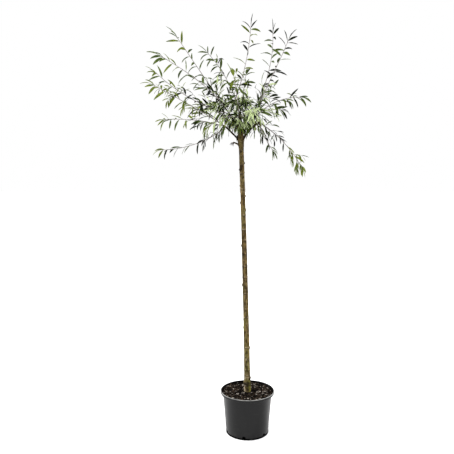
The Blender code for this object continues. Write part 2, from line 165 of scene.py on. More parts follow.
def newPiece(name, points, faceLists, sheet=None, sharp=None, values=None):
    # One object from an (n, 3) array and lists of faces; values are numbers for each point
    mesh = bpy.data.meshes.new(name)
    faces = [face for part in faceLists for face in np.asarray(part).tolist()]
    mesh.from_pydata(np.asarray(points, float).tolist(), [], faces)
    mesh.shade_smooth()
    if sharp:
        mesh.set_sharp_from_angle(angle=math.radians(sharp))
    for key, numbers in (values or {}).items():
        layer = mesh.attributes.new(key, "FLOAT", "POINT")
        layer.data.foreach_set("value", np.asarray(numbers, np.float32).ravel())
    if sheet:
        mesh.materials.append(sheet.material)
    made = bpy.data.objects.new(name, mesh)
    bpy.context.scene.collection.objects.link(made)
    return made


def settle(piece, slot, *nodes):
    # The piece rides on the part's one body and stands for these solids
    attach(piece, "root")
    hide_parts(*nodes)


def bell(x):
    # 1 at 0, falling to nothing at about 2 either way
    return np.exp(-(x**2))


def mix(ends, share):
    # The first end at share 0, the second at share 1
    return ends[0] + (ends[1] - ends[0]) * share


def turns(count):
    return np.arange(count) * 2 * np.pi / count


def angleFrom(angles, azimuth):
    # How far each angle lies from the azimuth, from -pi to pi
    return (angles - math.radians(azimuth) + np.pi) % (2 * np.pi) - np.pi


def gridFaces(rows, columns):
    # Quads between neighbouring rows, whose last column meets the first
    first = np.arange(rows - 1)[:, None] * columns
    here = np.arange(columns)
    after = (here + 1) % columns
    corners = [first + here, first + after, first + columns + after, first + columns + here]
    return np.stack(corners, -1).reshape(-1, 4)


def closedTube(rows, columns):
    # The faces of one tube: its grid, then a fan to a point at the foot and one at the tip
    here = np.arange(columns)
    after = (here + 1) % columns
    foot = np.full(columns, rows * columns)
    last = (rows - 1) * columns
    fans = [np.stack([after, here, foot], -1), np.stack([last + here, last + after, foot + 1], -1)]
    return gridFaces(rows, columns), np.vstack(fans)


def repeated(faces, count, step):
    # The same faces for each of several shapes whose points follow each other
    return (faces + np.arange(count)[:, None, None] * step).reshape(-1, faces.shape[1])


def unit(vectors):
    return vectors / np.maximum(np.linalg.norm(vectors, axis=-1, keepdims=True), 1e-12)


def framesAlong(paths):
    # Two directions square to each path, carried along it without twist:
    # each is the last one less its share along the path, made a unit again
    ahead = unit(np.gradient(paths, axis=1))
    steep = np.abs(ahead[:, 0, 2:]) > 0.9
    side = np.cross(ahead[:, 0], np.where(steep, (1.0, 0, 0), (0, 0, 1.0)))
    across = np.empty_like(ahead)
    for i in range(paths.shape[1]):
        side = unit(side - (side * ahead[:, i]).sum(-1, keepdims=True) * ahead[:, i])
        across[:, i] = side
    return across, np.cross(ahead, across)


def tubes(paths, radii, sides):
    # point = path + radius * (across cos a + upward sin a), for paths (n, rows, 3)
    # and radii (n, rows) or (n, rows, sides)
    count, rows = paths.shape[:2]
    across, upward = framesAlong(paths)
    turn = turns(sides)
    spread = across[:, :, None] * np.cos(turn)[:, None] + upward[:, :, None] * np.sin(turn)[:, None]
    radii = radii.reshape(count, rows, -1, 1)
    rings = (paths[:, :, None] + spread * radii).reshape(count, rows * sides, 3)
    points = np.concatenate([rings, paths[:, :1], paths[:, -1:]], axis=1)
    faces = [repeated(part, count, rows * sides + 2) for part in closedTube(rows, sides)]
    return points.reshape(-1, 3), faces


def smoothed(paths, steps):
    # A cubic curve through each path's points, with some steps to each stretch. At a point it
    # runs along the line between the two points beside it
    ends = [2 * paths[:, :1] - paths[:, 1:2], paths, 2 * paths[:, -1:] - paths[:, -2:-1]]
    full = np.concatenate(ends, axis=1)
    t = (np.arange(steps) / steps)[:, None]
    a, b, c, d = (full[:, i:full.shape[1] - 3 + i, None] for i in range(4))
    curve = b + 0.5 * t * (c - a + t * (2 * a - 5 * b + 4 * c - d + t * (3 * (b - c) + d - a)))
    curve = curve.reshape(len(paths), -1, 3)
    return np.concatenate([curve, paths[:, -1:]], axis=1)


def ripple(points, seed):
    # Smooth noise from -1 to 1: a hashed value at each corner of a unit cell,
    # blended by 3t^2 - 2t^3 along each axis
    cell = np.floor(points).astype(np.int64)
    t = points - cell
    t = t * t * (3 - 2 * t)
    total = np.zeros(points.shape[:-1])
    for corner in np.ndindex(2, 2, 2):
        weight = np.where(corner, t, 1 - t).prod(-1)
        key = (cell + np.array(corner)) @ np.array([73856093, 19349663, 83492791]) + seed * 7919
        key = ((key ^ (key >> 13)) * 1274126177) & 0x7FFFFFFF
        total += weight * (((key ^ (key >> 15)) & 0xFFFF) / 32767.5 - 1)
    return total


def ripples(points, seed, layers):
    # Each further layer is twice as fine and half as strong
    return sum(ripple(points * 2**k, seed + k) / 2**k for k in range(layers))


# Pot

pot = {
    "height": 0.260,
    "footRadius": 0.1275,
    "wallTopRadius": 0.150,
    "wall": 0.0025,
    "floor": 0.003,
    "bandHeight": 0.006,
    "bandStep": 0.0012,
    "rimRadius": 0.1625,
    "opening": 0.157,
    "rimDrop": 0.0155,
    "shelf": 0.002,
    "rounding": 0.0011,
    "rimRounding": 0.0026,
    "highlightRadii": (0.1593, 0.1605),  # the paler edge begins and is full there
    "highlightHeights": (0.2566, 0.2583),
    "notches": 6,
    "firstNotch": 259.0,
    "notchWidth": 0.021,
    "notchHeight": 0.023,
    "notchSill": 0.003 + gap / 2,  # just above the floor
    "notchReach": (0.0915, 0.1355),  # from and to radius
    "archSteps": 13,
    # The ring of painted shadow at the foot:
    "footLine": (0.0008, 0.0092, 0.0003, 0.0016),  # from and to height, how far out and how thick
    "footShadowLineRounding": 0.0004,
    "columns": 216,
    "sharpAngle": 38,
}


def wallRadius(height):
    # The wall's outer face leans out evenly
    return mix((pot["footRadius"], pot["wallTopRadius"]), height / pot["height"])


def eased(corners, radii, steps):
    # Each corner of an outline becomes a quadratic curve between the points that lie
    # the radius, or somewhat under half of the edge, before and after it
    rows = [corners[0]]
    for before, here, after, radius in zip(corners, corners[1:], corners[2:], radii):
        back, ahead = before - here, after - here
        back *= min(radius / np.linalg.norm(back), 0.48)
        ahead *= min(radius / np.linalg.norm(ahead), 0.48)
        t = np.linspace(0, 1, steps)[:, None]
        rows += list(here + back * (1 - t) ** 2 + ahead * t**2)
    return np.array([*rows, corners[-1]])


def subdivided(outline, longest):
    # Extra points where two neighbours lie further apart than the longest step
    rows = []
    for here, after in zip(outline, outline[1:]):
        count = max(1, math.ceil(np.linalg.norm(after - here) / longest))
        rows += [here + (after - here) * i / count for i in range(count)]
    return np.array([*rows, outline[-1]])


def turnedRings(profile, columns):
    # point = (radius cos a, radius sin a, height)
    turn = turns(columns)
    flat = [np.outer(profile[:, 0], np.cos(turn)), np.outer(profile[:, 0], np.sin(turn))]
    return np.stack([*flat, np.repeat(profile[:, 1:], columns, 1)], -1).reshape(-1, 3)


def turnedShape(outline, columns):
    # An outline that starts and ends on the axis, turned about it
    ends = [(0, 0, outline[0, 1]), (0, 0, outline[-1, 1])]
    return np.vstack([turnedRings(outline[1:-1], columns), ends]), closedTube(len(outline) - 2, columns)


def potPlastic():
    # Black plastic, with a painted highlight along the rim's outer edge
    sheet = Sheet("potPlastic", 0.18)
    x, y, z = (sheet.add("ShaderNodeSeparateXYZ", {}, {"Vector": sheet.place()}, axis) for axis in range(3))
    # edge masks the painted highlight on the rim's outer rounding, broken into patches
    edge = sheet.between((x * x + y * y) ** 0.5, *pot["highlightRadii"]) * sheet.between(z, *pot["highlightHeights"])
    highlightPatches = sheet.between(sheet.noise(38.0), 0.36, 0.60)
    grain = sheet.noise(900.0, 2.0)
    flow = sheet.noise(5.0, 4.0, stretch=(9, 9, 1.2))
    dust = sheet.between(sheet.noise(16.0, 6.0, 0.7, (1, 1, 2.5)), 0.52, 0.78)
    scuffs = sheet.between(sheet.noise(22.0, 5.0, 0.8, (14, 14, 2)), 0.66, 0.74)
    colour = sheet.layered(
        (0.0018, 0.0018, 0.0020), (flow, (0.0046, 0.0046, 0.0049)), (dust * 0.20, (0.045, 0.042, 0.038)),
        (scuffs * 0.16, (0.08, 0.08, 0.08)), (edge * (highlightPatches * 0.45 + 0.55), (0.260, 0.260, 0.250)))
    roughness = 0.30 + flow * 0.06 + dust * 0.14 + grain * 0.04
    return sheet.finished(colour, roughness, grain * 0.35 + flow * 0.65, 0.0004, 0.25)


# Near-black, dull plastic for the painted shadow ring at the foot
def footShadowPlastic():
    sheet = Sheet("footShadowPlastic", 0.02)
    grain = sheet.noise(90.0)
    colour = sheet.blend(grain, (0.0006, 0.0006, 0.0006), (0.0022, 0.0022, 0.0021))
    return sheet.finished(colour, 0.6 + grain * 0.2)


def makePot():
    p = pot
    underRim = p["height"] - p["rimDrop"]
    shelf = underRim + p["shelf"]
    band = wallRadius(p["bandHeight"])
    plain, round = p["rounding"], p["rimRounding"]
    corners = np.array([
        (0, 0, 0),
        (p["footRadius"] + p["bandStep"], 0, plain),
        (band + p["bandStep"], p["bandHeight"] - p["bandStep"], plain),
        (band, p["bandHeight"], plain),
        (wallRadius(underRim), underRim, plain),
        (p["rimRadius"], underRim, plain),
        (p["rimRadius"], p["height"], round),
        (p["opening"], p["height"], round),
        (p["opening"], shelf, plain),
        (wallRadius(shelf) - p["wall"], shelf, plain),
        (wallRadius(p["floor"]) - p["wall"], p["floor"], plain),
        (0, p["floor"], 0),
    ])
    outline = subdivided(eased(corners[:, :2], corners[1:-1, 2], 7), 0.012)
    shell = turnedShape(outline, p["columns"])
    addNotched("potShell", shell, potPlastic(), p["sharpAngle"], "pot_plastic", "pot")


def makeFootShadowLine():
    # A thin near-black, dull ring round the band at the foot's edge: painted shadow under the pot
    low, high, out, thick = pot["footLine"]
    edge = wallRadius(np.array([low, high])) + pot["bandStep"] + out
    start = (edge.mean() - thick, (low + high) / 2)
    corners = [start, (edge[0] - thick, low), (edge[0], low), (edge[1], high), (edge[1] - thick, high), start]
    section = eased(np.array(corners), [pot["footShadowLineRounding"]] * 4, 4)[:-1]
    points = turnedRings(section, pot["columns"])
    faces = gridFaces(len(section) + 1, pot["columns"]) % len(points)
    addNotched("footLine", (points, [faces]), footShadowPlastic(), pot["sharpAngle"], "pot_plastic", "pot")


def addNotched(name, surface, finish, sharp, slot, node):
    # The drain notches are cut out of the piece
    piece = newPiece(name, *surface, finish)
    for i in range(pot["notches"]):
        cut = piece.modifiers.new("notch", "BOOLEAN")
        cut.operation = "DIFFERENCE"
        cut.object = notchCutter(math.radians(pot["firstNotch"] + i * 360 / pot["notches"]))
    graph = bpy.context.evaluated_depsgraph_get()
    piece.data = bpy.data.meshes.new_from_object(piece.evaluated_get(graph))
    piece.modifiers.clear()
    piece.data.set_sharp_from_angle(angle=math.radians(sharp))
    for cutter in [obj for obj in bpy.data.objects if obj.name.startswith("notchCutter")]:
        bpy.data.objects.remove(cutter)
    settle(piece, slot, node)


def notchCutter(angle):
    # An arched opening: its outline in the wall is a rectangle with a half round on top
    half = pot["notchWidth"] / 2
    turn = np.linspace(0, np.pi, pot["archSteps"])
    arch = np.stack([half * np.cos(turn), pot["notchHeight"] - half + half * np.sin(turn)], -1)
    outline = np.vstack([arch, [(-half, pot["notchSill"]), (half, pot["notchSill"])]])
    out = np.array([math.cos(angle), math.sin(angle), 0])
    side = np.array([-math.sin(angle), math.cos(angle), 0])
    drawn = side * outline[:, :1] + np.outer(outline[:, 1], (0, 0, 1))
    walls = [out * reach + drawn for reach in pot["notchReach"]]
    points = np.vstack([*walls, *(wall.mean(0) for wall in walls)])
    return newPiece("notchCutter", points, closedTube(2, len(outline)))


makePot()
makeFootShadowLine()
print("pot made")


# Potting bark

soil = {
    "edgeHeight": 0.2475,
    "topHeight": 0.2520,
    "flatRadius": 0.034,
    "shoulder": (0.65, 0.35),
    "topRings": 44,
    "columns": 132,
    "lumpSize": 0.011,
    "lumpHeight": 0.0018,
    "lumpDrop": 0.0010,
    "compost": ((0.0012, 0.0008, 0.0006), (0.006, 0.0042, 0.0030)),
    "sharpAngle": 60,
    "chips": 2900,
    "lengths": (0.005, 0.020),
    "shortness": 2.4,  # the higher, the more of them are short
    "widths": (0.35, 0.75),  # as shares of the length, like the thicknesses
    "thicknesses": (0.12, 0.32),
    "thickest": 0.0042,
    "spread": 0.55,
    "tilt": 0.26,
    "lifts": (-0.0006, 0.0026),
    "tiltLift": 0.22,
    "unevenness": (0.62, 1.12),
    "trunkClear": 0.0228,
    "trunkTouch": 0.002,
    "highest": 0.2580,
    "rows": 4,
    "sides": 6,
    "flatness": 0.4,  # 0 gives a chip square ends and 1 round ones
    "chipSharpAngle": 32,
    "seed": 7,
}

chipTones = {  # share of the chips, then two colours that each chip's grain lies between
    "dark": (0.60, (0.0006, 0.0005, 0.0004), (0.0050, 0.0038, 0.0027)),
    "brown": (0.21, (0.010, 0.0070, 0.0048), (0.034, 0.024, 0.0168)),
    "russet": (0.10, (0.034, 0.023, 0.015), (0.090, 0.063, 0.044)),
    "pale": (0.09, (0.110, 0.095, 0.080), (0.340, 0.305, 0.268)),
}


def soilHeight(radius):
    # Level by the trunk, then falling to the rim, with the same corner as the solid
    edge = pot["opening"] - gap
    heap = soil["topHeight"] - soil["edgeHeight"]
    spots = [0, soil["flatRadius"], edge * soil["shoulder"][0], edge]
    return np.interp(radius, spots, soil["edgeHeight"] + heap * np.array([1, 1, soil["shoulder"][1], 0]))


def chipBark(name, low, high):
    sheet = Sheet(name, 0.02)
    grain = sheet.noise(260.0, 5.0, 0.7)
    share = sheet.between(grain * 0.6 + sheet.noise(55.0, 2.0) * 0.4, 0.36, 0.64)
    return sheet.finished(sheet.blend(share, low, high), 0.72 + grain * 0.26, grain, 0.0012, 0.7)


def makeCompost():
    s = soil
    edge = pot["opening"] - gap
    low = pot["floor"] + gap
    shelf = pot["height"] - pot["rimDrop"] + pot["shelf"]
    radii = np.linspace(edge, 0, s["topRings"])
    outline = [(0, low), (wallRadius(low) - pot["wall"] - gap, low),
               (wallRadius(shelf) - pot["wall"] - gap, shelf + gap), (edge, shelf + gap),
               *zip(radii, soilHeight(radii))]
    points, faces = turnedShape(np.array(outline), s["columns"])
    top = (points[:, 2] > s["edgeHeight"] - 1e-6) & (np.hypot(points[:, 0], points[:, 1]) < edge - 1e-4)
    lumps = ripples(points / (*[s["lumpSize"]] * 2, 1), s["seed"], 3) * s["lumpHeight"] - s["lumpDrop"]
    points[:, 2] += lumps * top
    finish = chipBark("compost", *s["compost"])
    addNotched("compost", (points, faces), finish, s["sharpAngle"], "potting_bark", "soil")


def makeChips():
    # Each chip is a ball of rows and sides whose corners are drawn in and out,
    # then stretched, tilted about its short side and turned
    s = soil
    edge = pot["opening"] - gap
    random = np.random.default_rng(s["seed"])
    count = s["chips"]
    length = mix(s["lengths"], random.random(count) ** s["shortness"])
    width = length * random.uniform(*s["widths"], count)
    thick = np.minimum(length * random.uniform(*s["thicknesses"], count), s["thickest"])
    nearest = s["trunkClear"] + length / 2
    radius = nearest + (edge - length / 2 - nearest) * random.random(count) ** s["spread"]
    azimuth = random.uniform(0, 2 * np.pi, count)
    yaw = random.uniform(0, 2 * np.pi, count)
    tilt = np.abs(random.normal(0, s["tilt"], count))
    lift = random.uniform(*s["lifts"], count) + length * np.sin(tilt) * s["tiltLift"]
    height = np.minimum(soilHeight(radius) + lift, s["highest"] - length * np.sin(tilt) / 2)
    centre = np.stack([radius * np.cos(azimuth), radius * np.sin(azimuth), height], -1)

    rows = np.linspace(0, np.pi, s["rows"] + 2)[1:-1]
    turn = turns(s["sides"])
    plump = np.sin(rows) ** s["flatness"]
    ball = [np.repeat(-np.cos(rows)[:, None], len(turn), 1), np.outer(plump, np.cos(turn)),
            np.outer(plump, np.sin(turn))]
    ball = np.vstack([np.stack(ball, -1).reshape(-1, 3), [(-1, 0, 0), (1, 0, 0)]])
    size = np.stack([length, width, thick], -1)[:, None] / 2
    shape = ball * size * random.uniform(*s["unevenness"], (count, len(ball), 1))
    ahead = np.stack([np.cos(yaw) * np.cos(tilt), np.sin(yaw) * np.cos(tilt), np.sin(tilt)], -1)
    across = np.stack([-np.sin(yaw), np.cos(yaw), 0 * yaw], -1)
    points = shape @ np.stack([ahead, across, np.cross(ahead, across)], 1) + centre[:, None]
    reach = np.hypot(points[..., 0], points[..., 1])
    fits = (reach.max(1) < edge) & (reach.min(1) > s["trunkClear"] - s["trunkTouch"])
    parts = closedTube(s["rows"], s["sides"])
    tone = random.random(count)
    start = 0
    for name, (share, low, high) in chipTones.items():
        some = points[fits & (tone >= start) & (tone < start + share)]
        start += share
        faces = [repeated(part, len(some), len(ball)) for part in parts]
        title = name + "BarkChips"
        chips = newPiece(title, some.reshape(-1, 3), faces, chipBark(title, low, high), s["chipSharpAngle"])
        settle(chips, "potting_bark", "soil")


makeCompost()
makeChips()
print("potting bark made")


# The rule that the limbs and the shoots grow by, as in the solids

def heading(azimuth, rise):
    azimuth, rise = np.radians(azimuth), np.radians(rise)
    level = np.cos(rise)
    return np.stack([level * np.cos(azimuth), level * np.sin(azimuth), np.sin(rise)], -1)


def shootPath(start, azimuth, rise, swing, bend, length, steps):
    # The azimuth and the rise change evenly along the path
    share = (np.arange(steps) + 0.5) / steps
    azimuth, rise, length = (np.asarray(value, float)[..., None] for value in (azimuth, rise, length))
    step = heading(azimuth + swing * share, rise + bend * share) * (length / steps)[..., None]
    start = np.asarray(start, float)[..., None, :]
    return np.concatenate([start, start + np.cumsum(step, axis=-2)], axis=-2)


def along(path, share):
    # The place at a share of the path, counted by its points, and the direction there
    place = share * (len(path) - 1)
    first = min(int(place), len(path) - 2)
    run = path[first + 1] - path[first]
    return path[first] + run * (place - first), run / np.linalg.norm(run)


def turned(direction, lean, spin):
    # The direction leaned over by some degrees, on the side that spin gives
    across = np.cross(direction, (0, 0, 1))
    if np.linalg.norm(across) < 0.05:
        across = np.cross(direction, (0, 1, 0))
    across /= np.linalg.norm(across)
    upward = np.cross(across, direction)
    lean, spin = math.radians(lean), math.radians(spin)
    side = across * math.cos(spin) + upward * math.sin(spin)
    return direction * math.cos(lean) + side * math.sin(lean)


def lengthOf(path):
    return np.linalg.norm(np.diff(path, axis=0), axis=1).sum()


def distanceTo(points, path):
    # From each point to the nearest stretch of the path
    start, run = path[:-1], np.diff(path, axis=0)
    offset = points[:, None] - start
    share = np.clip((offset * run).sum(-1) / (run * run).sum(-1), 0, 1)
    return np.linalg.norm(offset - share[..., None] * run, axis=-1).min(1)


# Trunk

trunk = {
    "foot": soil["topHeight"] + gap,
    "top": 1.835,
    "lean": 0.045,
    "leanCurve": 1.25,
    "footRadius": 0.0178,
    "topRadius": 0.0142,
    "flare": 0.0034,
    "flareHeight": 0.11,
    "graft": 0.304,
    "graftSwell": 0.0042,
    "graftSpread": 0.013,
    "fork": 1.768,
    "forkSwell": 0.0045,
    "forkSpread": 0.035,
    "rings": 900,
    "sides": 84,
    "dome": 0.012,
    "flutes": 0.00085,
    "grain": 0.00034,
    "wrinkles": 0.00016,
    "collar": 0.0013,
    "collarWidth": 0.0042,
    "collarWave": 0.0035,
    # Strength, how far below the collar, and spread
    "collarMarks": {"scar": (0.65, 0.0050, 0.0028), "pale": (0.75, -0.0006, 0.0024)},
    "graftLumps": 0.0030,
    "graftScar": (0.66, 1.4),  # how dark the graft is, and how much less on its lumps
    "forkLumps": 0.0016,
    "darkFrom": 1.60,
    "darkOver": 0.2,
    "mossReach": 0.9,  # how high the green film on the bark goes
}

# How fine each kind of relief is round the trunk and along it, its seed and its layers
trunkGrain = {
    "flutes": (1.5, 0.16, 11, 2),
    "grain": (6.5, 0.9, 21, 3),
    "wrinkles": (1.2, 6.0, 31, 1),
    "graft": (2.6, 1.7, 41, 3),
    "fork": (1.9, 0.8, 51, 3),
}
grainHeight = 0.02  # the height that one unit of it stands for

# A knot's shape in shares of its size: a bump with a dimple, with painted shade below its middle and a
# painted highlight above
knotShape = {
    "squat": 0.75,
    "bump": 1.6,
    "dimple": 4.5,
    "dimpleDepth": 0.30,
    "scar": (1.0, 0.30, 1.7),  # strength, how far below the middle, and narrowness
    "pale": (0.8, -0.55, 2.2),
}

# Old bud and branch scars: height, azimuth, size, and how far each stands out
trunkKnots = [
    (0.338, 350, 0.013, 0.0056), (0.446, 262, 0.011, 0.0020), (0.526, 345, 0.012, 0.0052),
    (0.640, 120, 0.010, 0.0030), (0.650, 190, 0.010, 0.0034), (0.700, 205, 0.011, 0.0028),
    (0.910, 184, 0.013, 0.0056), (0.938, 300, 0.011, 0.0020), (0.990, 70, 0.010, 0.0030),
    (1.068, 335, 0.010, 0.0026), (1.146, 192, 0.013, 0.0054), (1.176, 292, 0.012, 0.0022),
    (1.245, 40, 0.009, 0.0028), (1.358, 352, 0.012, 0.0050), (1.400, 186, 0.011, 0.0046),
    (1.440, 352, 0.012, 0.0054), (1.500, 188, 0.011, 0.0040), (1.553, 296, 0.011, 0.0028),
    (1.594, 196, 0.012, 0.0052), (1.632, 350, 0.012, 0.0056), (1.690, 100, 0.011, 0.0036),
    (1.700, 262, 0.010, 0.0018),
]

# Where a year's or a spurt's growth ended: a slight collar round the stem
trunkCollars = [0.391, 0.528, 0.714, 0.860, 0.957, 1.024, 1.099, 1.245, 1.328, 1.480, 1.575]

# Dark stains, among them painted shade down the trunk's left side, pale patches, black cracks and moss: how
# far each kind spreads round the stem,
# then its spots' height, azimuth, spread in height and strength
trunkMarks = {
    "stain": (0.75, [
        # The spots at azimuths 190 to 215 are painted shade down the trunk's left side; the rest are dark
        # stains
        (0.300, 262, 0.016, 1.0), (0.322, 330, 0.012, 0.8), (0.560, 195, 0.070, 0.45),
        (0.830, 198, 0.055, 0.9), (0.990, 205, 0.050, 0.6), (1.130, 215, 0.060, 0.8),
        (1.320, 190, 0.050, 0.4), (1.640, 200, 0.100, 1.0), (1.745, 330, 0.030, 0.7),
    ]),
    "pale": (0.75, [(0.286, 212, 0.030, 1.0), (0.345, 250, 0.016, 0.6)]),
    "scar": (0.42, [
        (0.334, 318, 0.008, 1.0), (0.304, 244, 0.007, 1.0), (0.311, 288, 0.006, 0.9),
        (0.268, 268, 0.010, 0.8), (0.410, 235, 0.004, 0.8), (0.466, 240, 0.004, 0.9),
    ]),
    "moss": (0.45, [(0.277, 322, 0.024, 1.0), (0.322, 300, 0.012, 0.5)]),
}

stub = {
    "height": 1.726,
    "azimuth": 196,
    "rise": 42,
    "bend": -30,
    "length": 0.056,
    "radii": (0.0060, 0.0038),
    "cutShare": 0.55,
    "swell": 0.004,
    "swellSpread": 0.006,
    "lumps": 0.16,
    "lumpSize": 0.006,
    "steps": 14,
    "sides": 20,
    "values": {"scar": 0.35, "high": 0.9},
}


def trunkShare(height):
    return (height - trunk["foot"]) / (trunk["top"] - trunk["foot"])


def trunkCentre(height):
    # It leans to the left by lean * share^curve
    lean = np.maximum(trunkShare(height), 0) ** trunk["leanCurve"]
    return np.stack([-trunk["lean"] * lean, 0 * lean, height + 0 * lean], -1)


def trunkRadius(height):
    # An even taper, with the flare at the foot, the graft's knob and the fork's swelling
    t = trunk
    taper = mix((t["footRadius"], t["topRadius"]), trunkShare(height))
    flare = t["flare"] * np.exp((t["foot"] - height) / t["flareHeight"])
    graft = t["graftSwell"] * bell((height - t["graft"]) / t["graftSpread"])
    return taper + flare + graft + t["forkSwell"] * bell((height - t["fork"]) / t["forkSpread"])


def barkFinish():
    sheet = Sheet("bark", 0.06)
    scar, pale, stain, high, low, moss = map(sheet.value, ("scar", "pale", "stain", "high", "low", "moss"))
    streak = sheet.noise(120.0, 5.0, 0.65, (1, 1, 0.14))
    blotch = sheet.noise(26.0, 4.0, 0.6, (1, 1, 0.45))
    fleck = sheet.noise(420.0, 3.0, 0.6, (1, 1, 0.5))
    band = sheet.noise(85.0, 3.0, 0.6, (0.25, 0.25, 1))
    cells = sheet.add("ShaderNodeTexVoronoi", {}, {"Vector": sheet.place((1, 1, 2.6)), "Scale": 105.0})
    dots = 1 - sheet.between(cells, 0.16, 0.30)
    green = low * sheet.between(blotch + fleck * 0.4, 0.5, 0.9)
    broken = sheet.between(sheet.noise(75.0, 2.0), 0.42, 0.60)
    mottle = sheet.between(sheet.noise(66.0, 3.0, 0.6, (1, 1, 0.45)), 0.50, 0.40)
    patchy = sheet.between(streak * 0.5 + blotch * 0.5, 0.66, 0.42)
    colour = sheet.layered(
        (0.026, 0.016, 0.0055), (sheet.between(streak, 0.38, 0.62), (0.160, 0.107, 0.040)),
        (sheet.between(blotch, 0.46, 0.66), (0.126, 0.098, 0.031)), (green * 0.7, (0.108, 0.102, 0.027)),
        (sheet.between(band, 0.56, 0.70) * 0.40, (0.260, 0.200, 0.125)), (dots * 0.30, (0.235, 0.180, 0.100)),
        # The pale value also lays painted highlights above the knots and on the collars
        (pale * broken, (0.400, 0.325, 0.235)), (mottle * 0.70, (0.016, 0.010, 0.004)),
        # The dark stains also carry the painted shade down the trunk's left side
        (stain * patchy, (0.010, 0.007, 0.003)), (moss * 0.65, (0.180, 0.172, 0.028)),
        # The scar value lays black scars and also painted shade below the knots and collars
        (high * 0.50, (0.012, 0.008, 0.004)), (scar * 0.97, (0.0040, 0.0025, 0.0015)))
    relief = streak * 0.5 + fleck * 0.25 + dots * 0.25
    return sheet.finished(colour, 0.62 + fleck * 0.3, relief, 0.0012, 0.55)


def trunkSurface():
    # centre(h) + (radius(h) + relief) * (cos a, sin a), where the relief adds flutes, bark
    # grain, knots, collars, and a rough graft and fork
    t = trunk
    height = np.linspace(t["foot"], t["top"] + t["dome"], t["rings"])
    h, a = np.meshgrid(height, turns(t["sides"]), indexing="ij")
    radius = trunkRadius(h)
    ring = np.stack([np.cos(a), np.sin(a), h / grainHeight], -1)
    values = dict(zip(("scar", "pale", "stain", "moss"), np.zeros((4, *h.shape))))

    def bumps(key):
        wide, tall, seed, layers = trunkGrain[key]
        return ripples(ring * (wide, wide, tall), seed, layers)

    def mark(key, amount):
        np.maximum(values[key], amount, out=values[key])

    relief = sum(bumps(key) * t[key] for key in ("flutes", "grain", "wrinkles"))
    for level, azimuth, size, stand in trunkKnots:
        k = knotShape
        around = angleFrom(a, azimuth) * radius / size
        up = (h - level) / size
        away = np.hypot(around, up / k["squat"])
        relief += stand * (bell(away * k["bump"]) - k["dimpleDepth"] * bell(away * k["dimple"]))
        for key in ("scar", "pale"):
            strength, below, narrowness = k[key]
            mark(key, bell(np.hypot(around, up + below) * narrowness) * strength)
    for key, (width, spots) in trunkMarks.items():
        for level, azimuth, spread, strength in spots:
            around = angleFrom(a, azimuth) / width
            mark(key, strength * np.exp(-(((h - level) / spread) ** 4) - around**2))
    for level in trunkCollars:
        # A wavy ring, with a line of painted shade below it and a painted highlight on it
        wave = np.stack([np.cos(a) * 1.3, np.sin(a) * 1.3, 0 * a + level * 50], -1)
        away = h - level - ripple(wave, 3) * t["collarWave"]
        relief += t["collar"] * bell(away / t["collarWidth"])
        for key, (strength, below, spread) in t["collarMarks"].items():
            mark(key, strength * bell((away + below) / spread))
    graft = bell((h - t["graft"]) / (t["graftSpread"] * 1.15))
    rough = bumps("graft")
    mark("scar", graft * np.clip(t["graftScar"][0] - rough * t["graftScar"][1], 0, 1))
    fork = bell((h - t["fork"]) / (t["forkSpread"] * 1.2))
    relief += graft * rough * t["graftLumps"] + fork * bumps("fork") * t["forkLumps"]
    top = np.clip((h - t["top"] + t["dome"]) / (2 * t["dome"]), 0, 1)
    radius = (radius + relief) * np.sqrt(np.maximum(1 - top**2, 0.0009))
    points = np.stack([trunkCentre(h)[..., 0] + radius * np.cos(a), radius * np.sin(a), h], -1)
    # The bark is darker towards the top of the trunk
    values["high"] = np.clip((h - t["darkFrom"]) / t["darkOver"], 0, 1) ** 1.5
    values["low"] = np.clip(1 - (h - t["foot"]) / t["mossReach"], 0, 1)
    values = {key: np.append(numbers.ravel(), numbers[[0, -1], 0]) for key, numbers in values.items()}
    points = np.vstack([points.reshape(-1, 3), trunkCentre(height[[0, -1]])])
    return points, closedTube(t["rings"], t["sides"]), values


def stubPath():
    s = stub
    return shootPath(trunkCentre(s["height"]), s["azimuth"], s["rise"], 0, s["bend"], s["length"], 3)


def stubSurface():
    # Swollen where it leaves the trunk, uneven, and narrower at its cut
    s = stub
    path = smoothed(stubPath()[None], s["steps"])
    share = np.linspace(0, 1, path.shape[1])
    away = (share * s["length"] - trunk["topRadius"]) / s["swellSpread"]
    radius = mix(s["radii"], share) + s["swell"] * bell(away)
    turn = np.arange(s["sides"])
    spot = path[:, :, None] / s["lumpSize"] + np.stack([np.cos(turn), np.sin(turn), 0 * turn], -1)
    radii = radius[None, :, None] * (1 + s["lumps"] * ripples(spot, 5, 3))
    radii[:, -1] *= s["cutShare"]
    return tubes(path, radii, s["sides"])


def makeTrunk(finish):
    points, faces, values = trunkSurface()
    more, moreFaces = stubSurface()
    for key, numbers in values.items():
        values[key] = np.append(numbers, np.full(len(more), stub["values"].get(key, 0.0)))
    faces = [*faces, *(part + len(points) for part in moreFaces)]
    settle(newPiece("trunkBark", np.vstack([points, more]), faces, finish, values=values), "bark", "trunk")


bark = barkFinish()
makeTrunk(bark)
print("trunk made")


# Boughs: height on the trunk, azimuth, rise, bend, length, radius at the trunk and at the tip

boughs = {
    "bough_left_low": (1.752, 190, 46, -4, 0.125, 0.0056, 0.0048),
    "bough_left": (1.798, 178, 63, -6, 0.135, 0.0078, 0.0068),
    "bough_centre": (1.810, 92, 66, 0, 0.130, 0.0072, 0.0058),
    "bough_right": (1.795, 15, 52, -4, 0.135, 0.0076, 0.0068),
    "bough_right_low": (1.745, 335, 66, -40, 0.165, 0.0060, 0.0052),
    "bough_front": (1.785, 262, 56, -6, 0.130, 0.0066, 0.0056),
    "bough_back": (1.775, 86, 40, 0, 0.140, 0.0070, 0.0060),
}

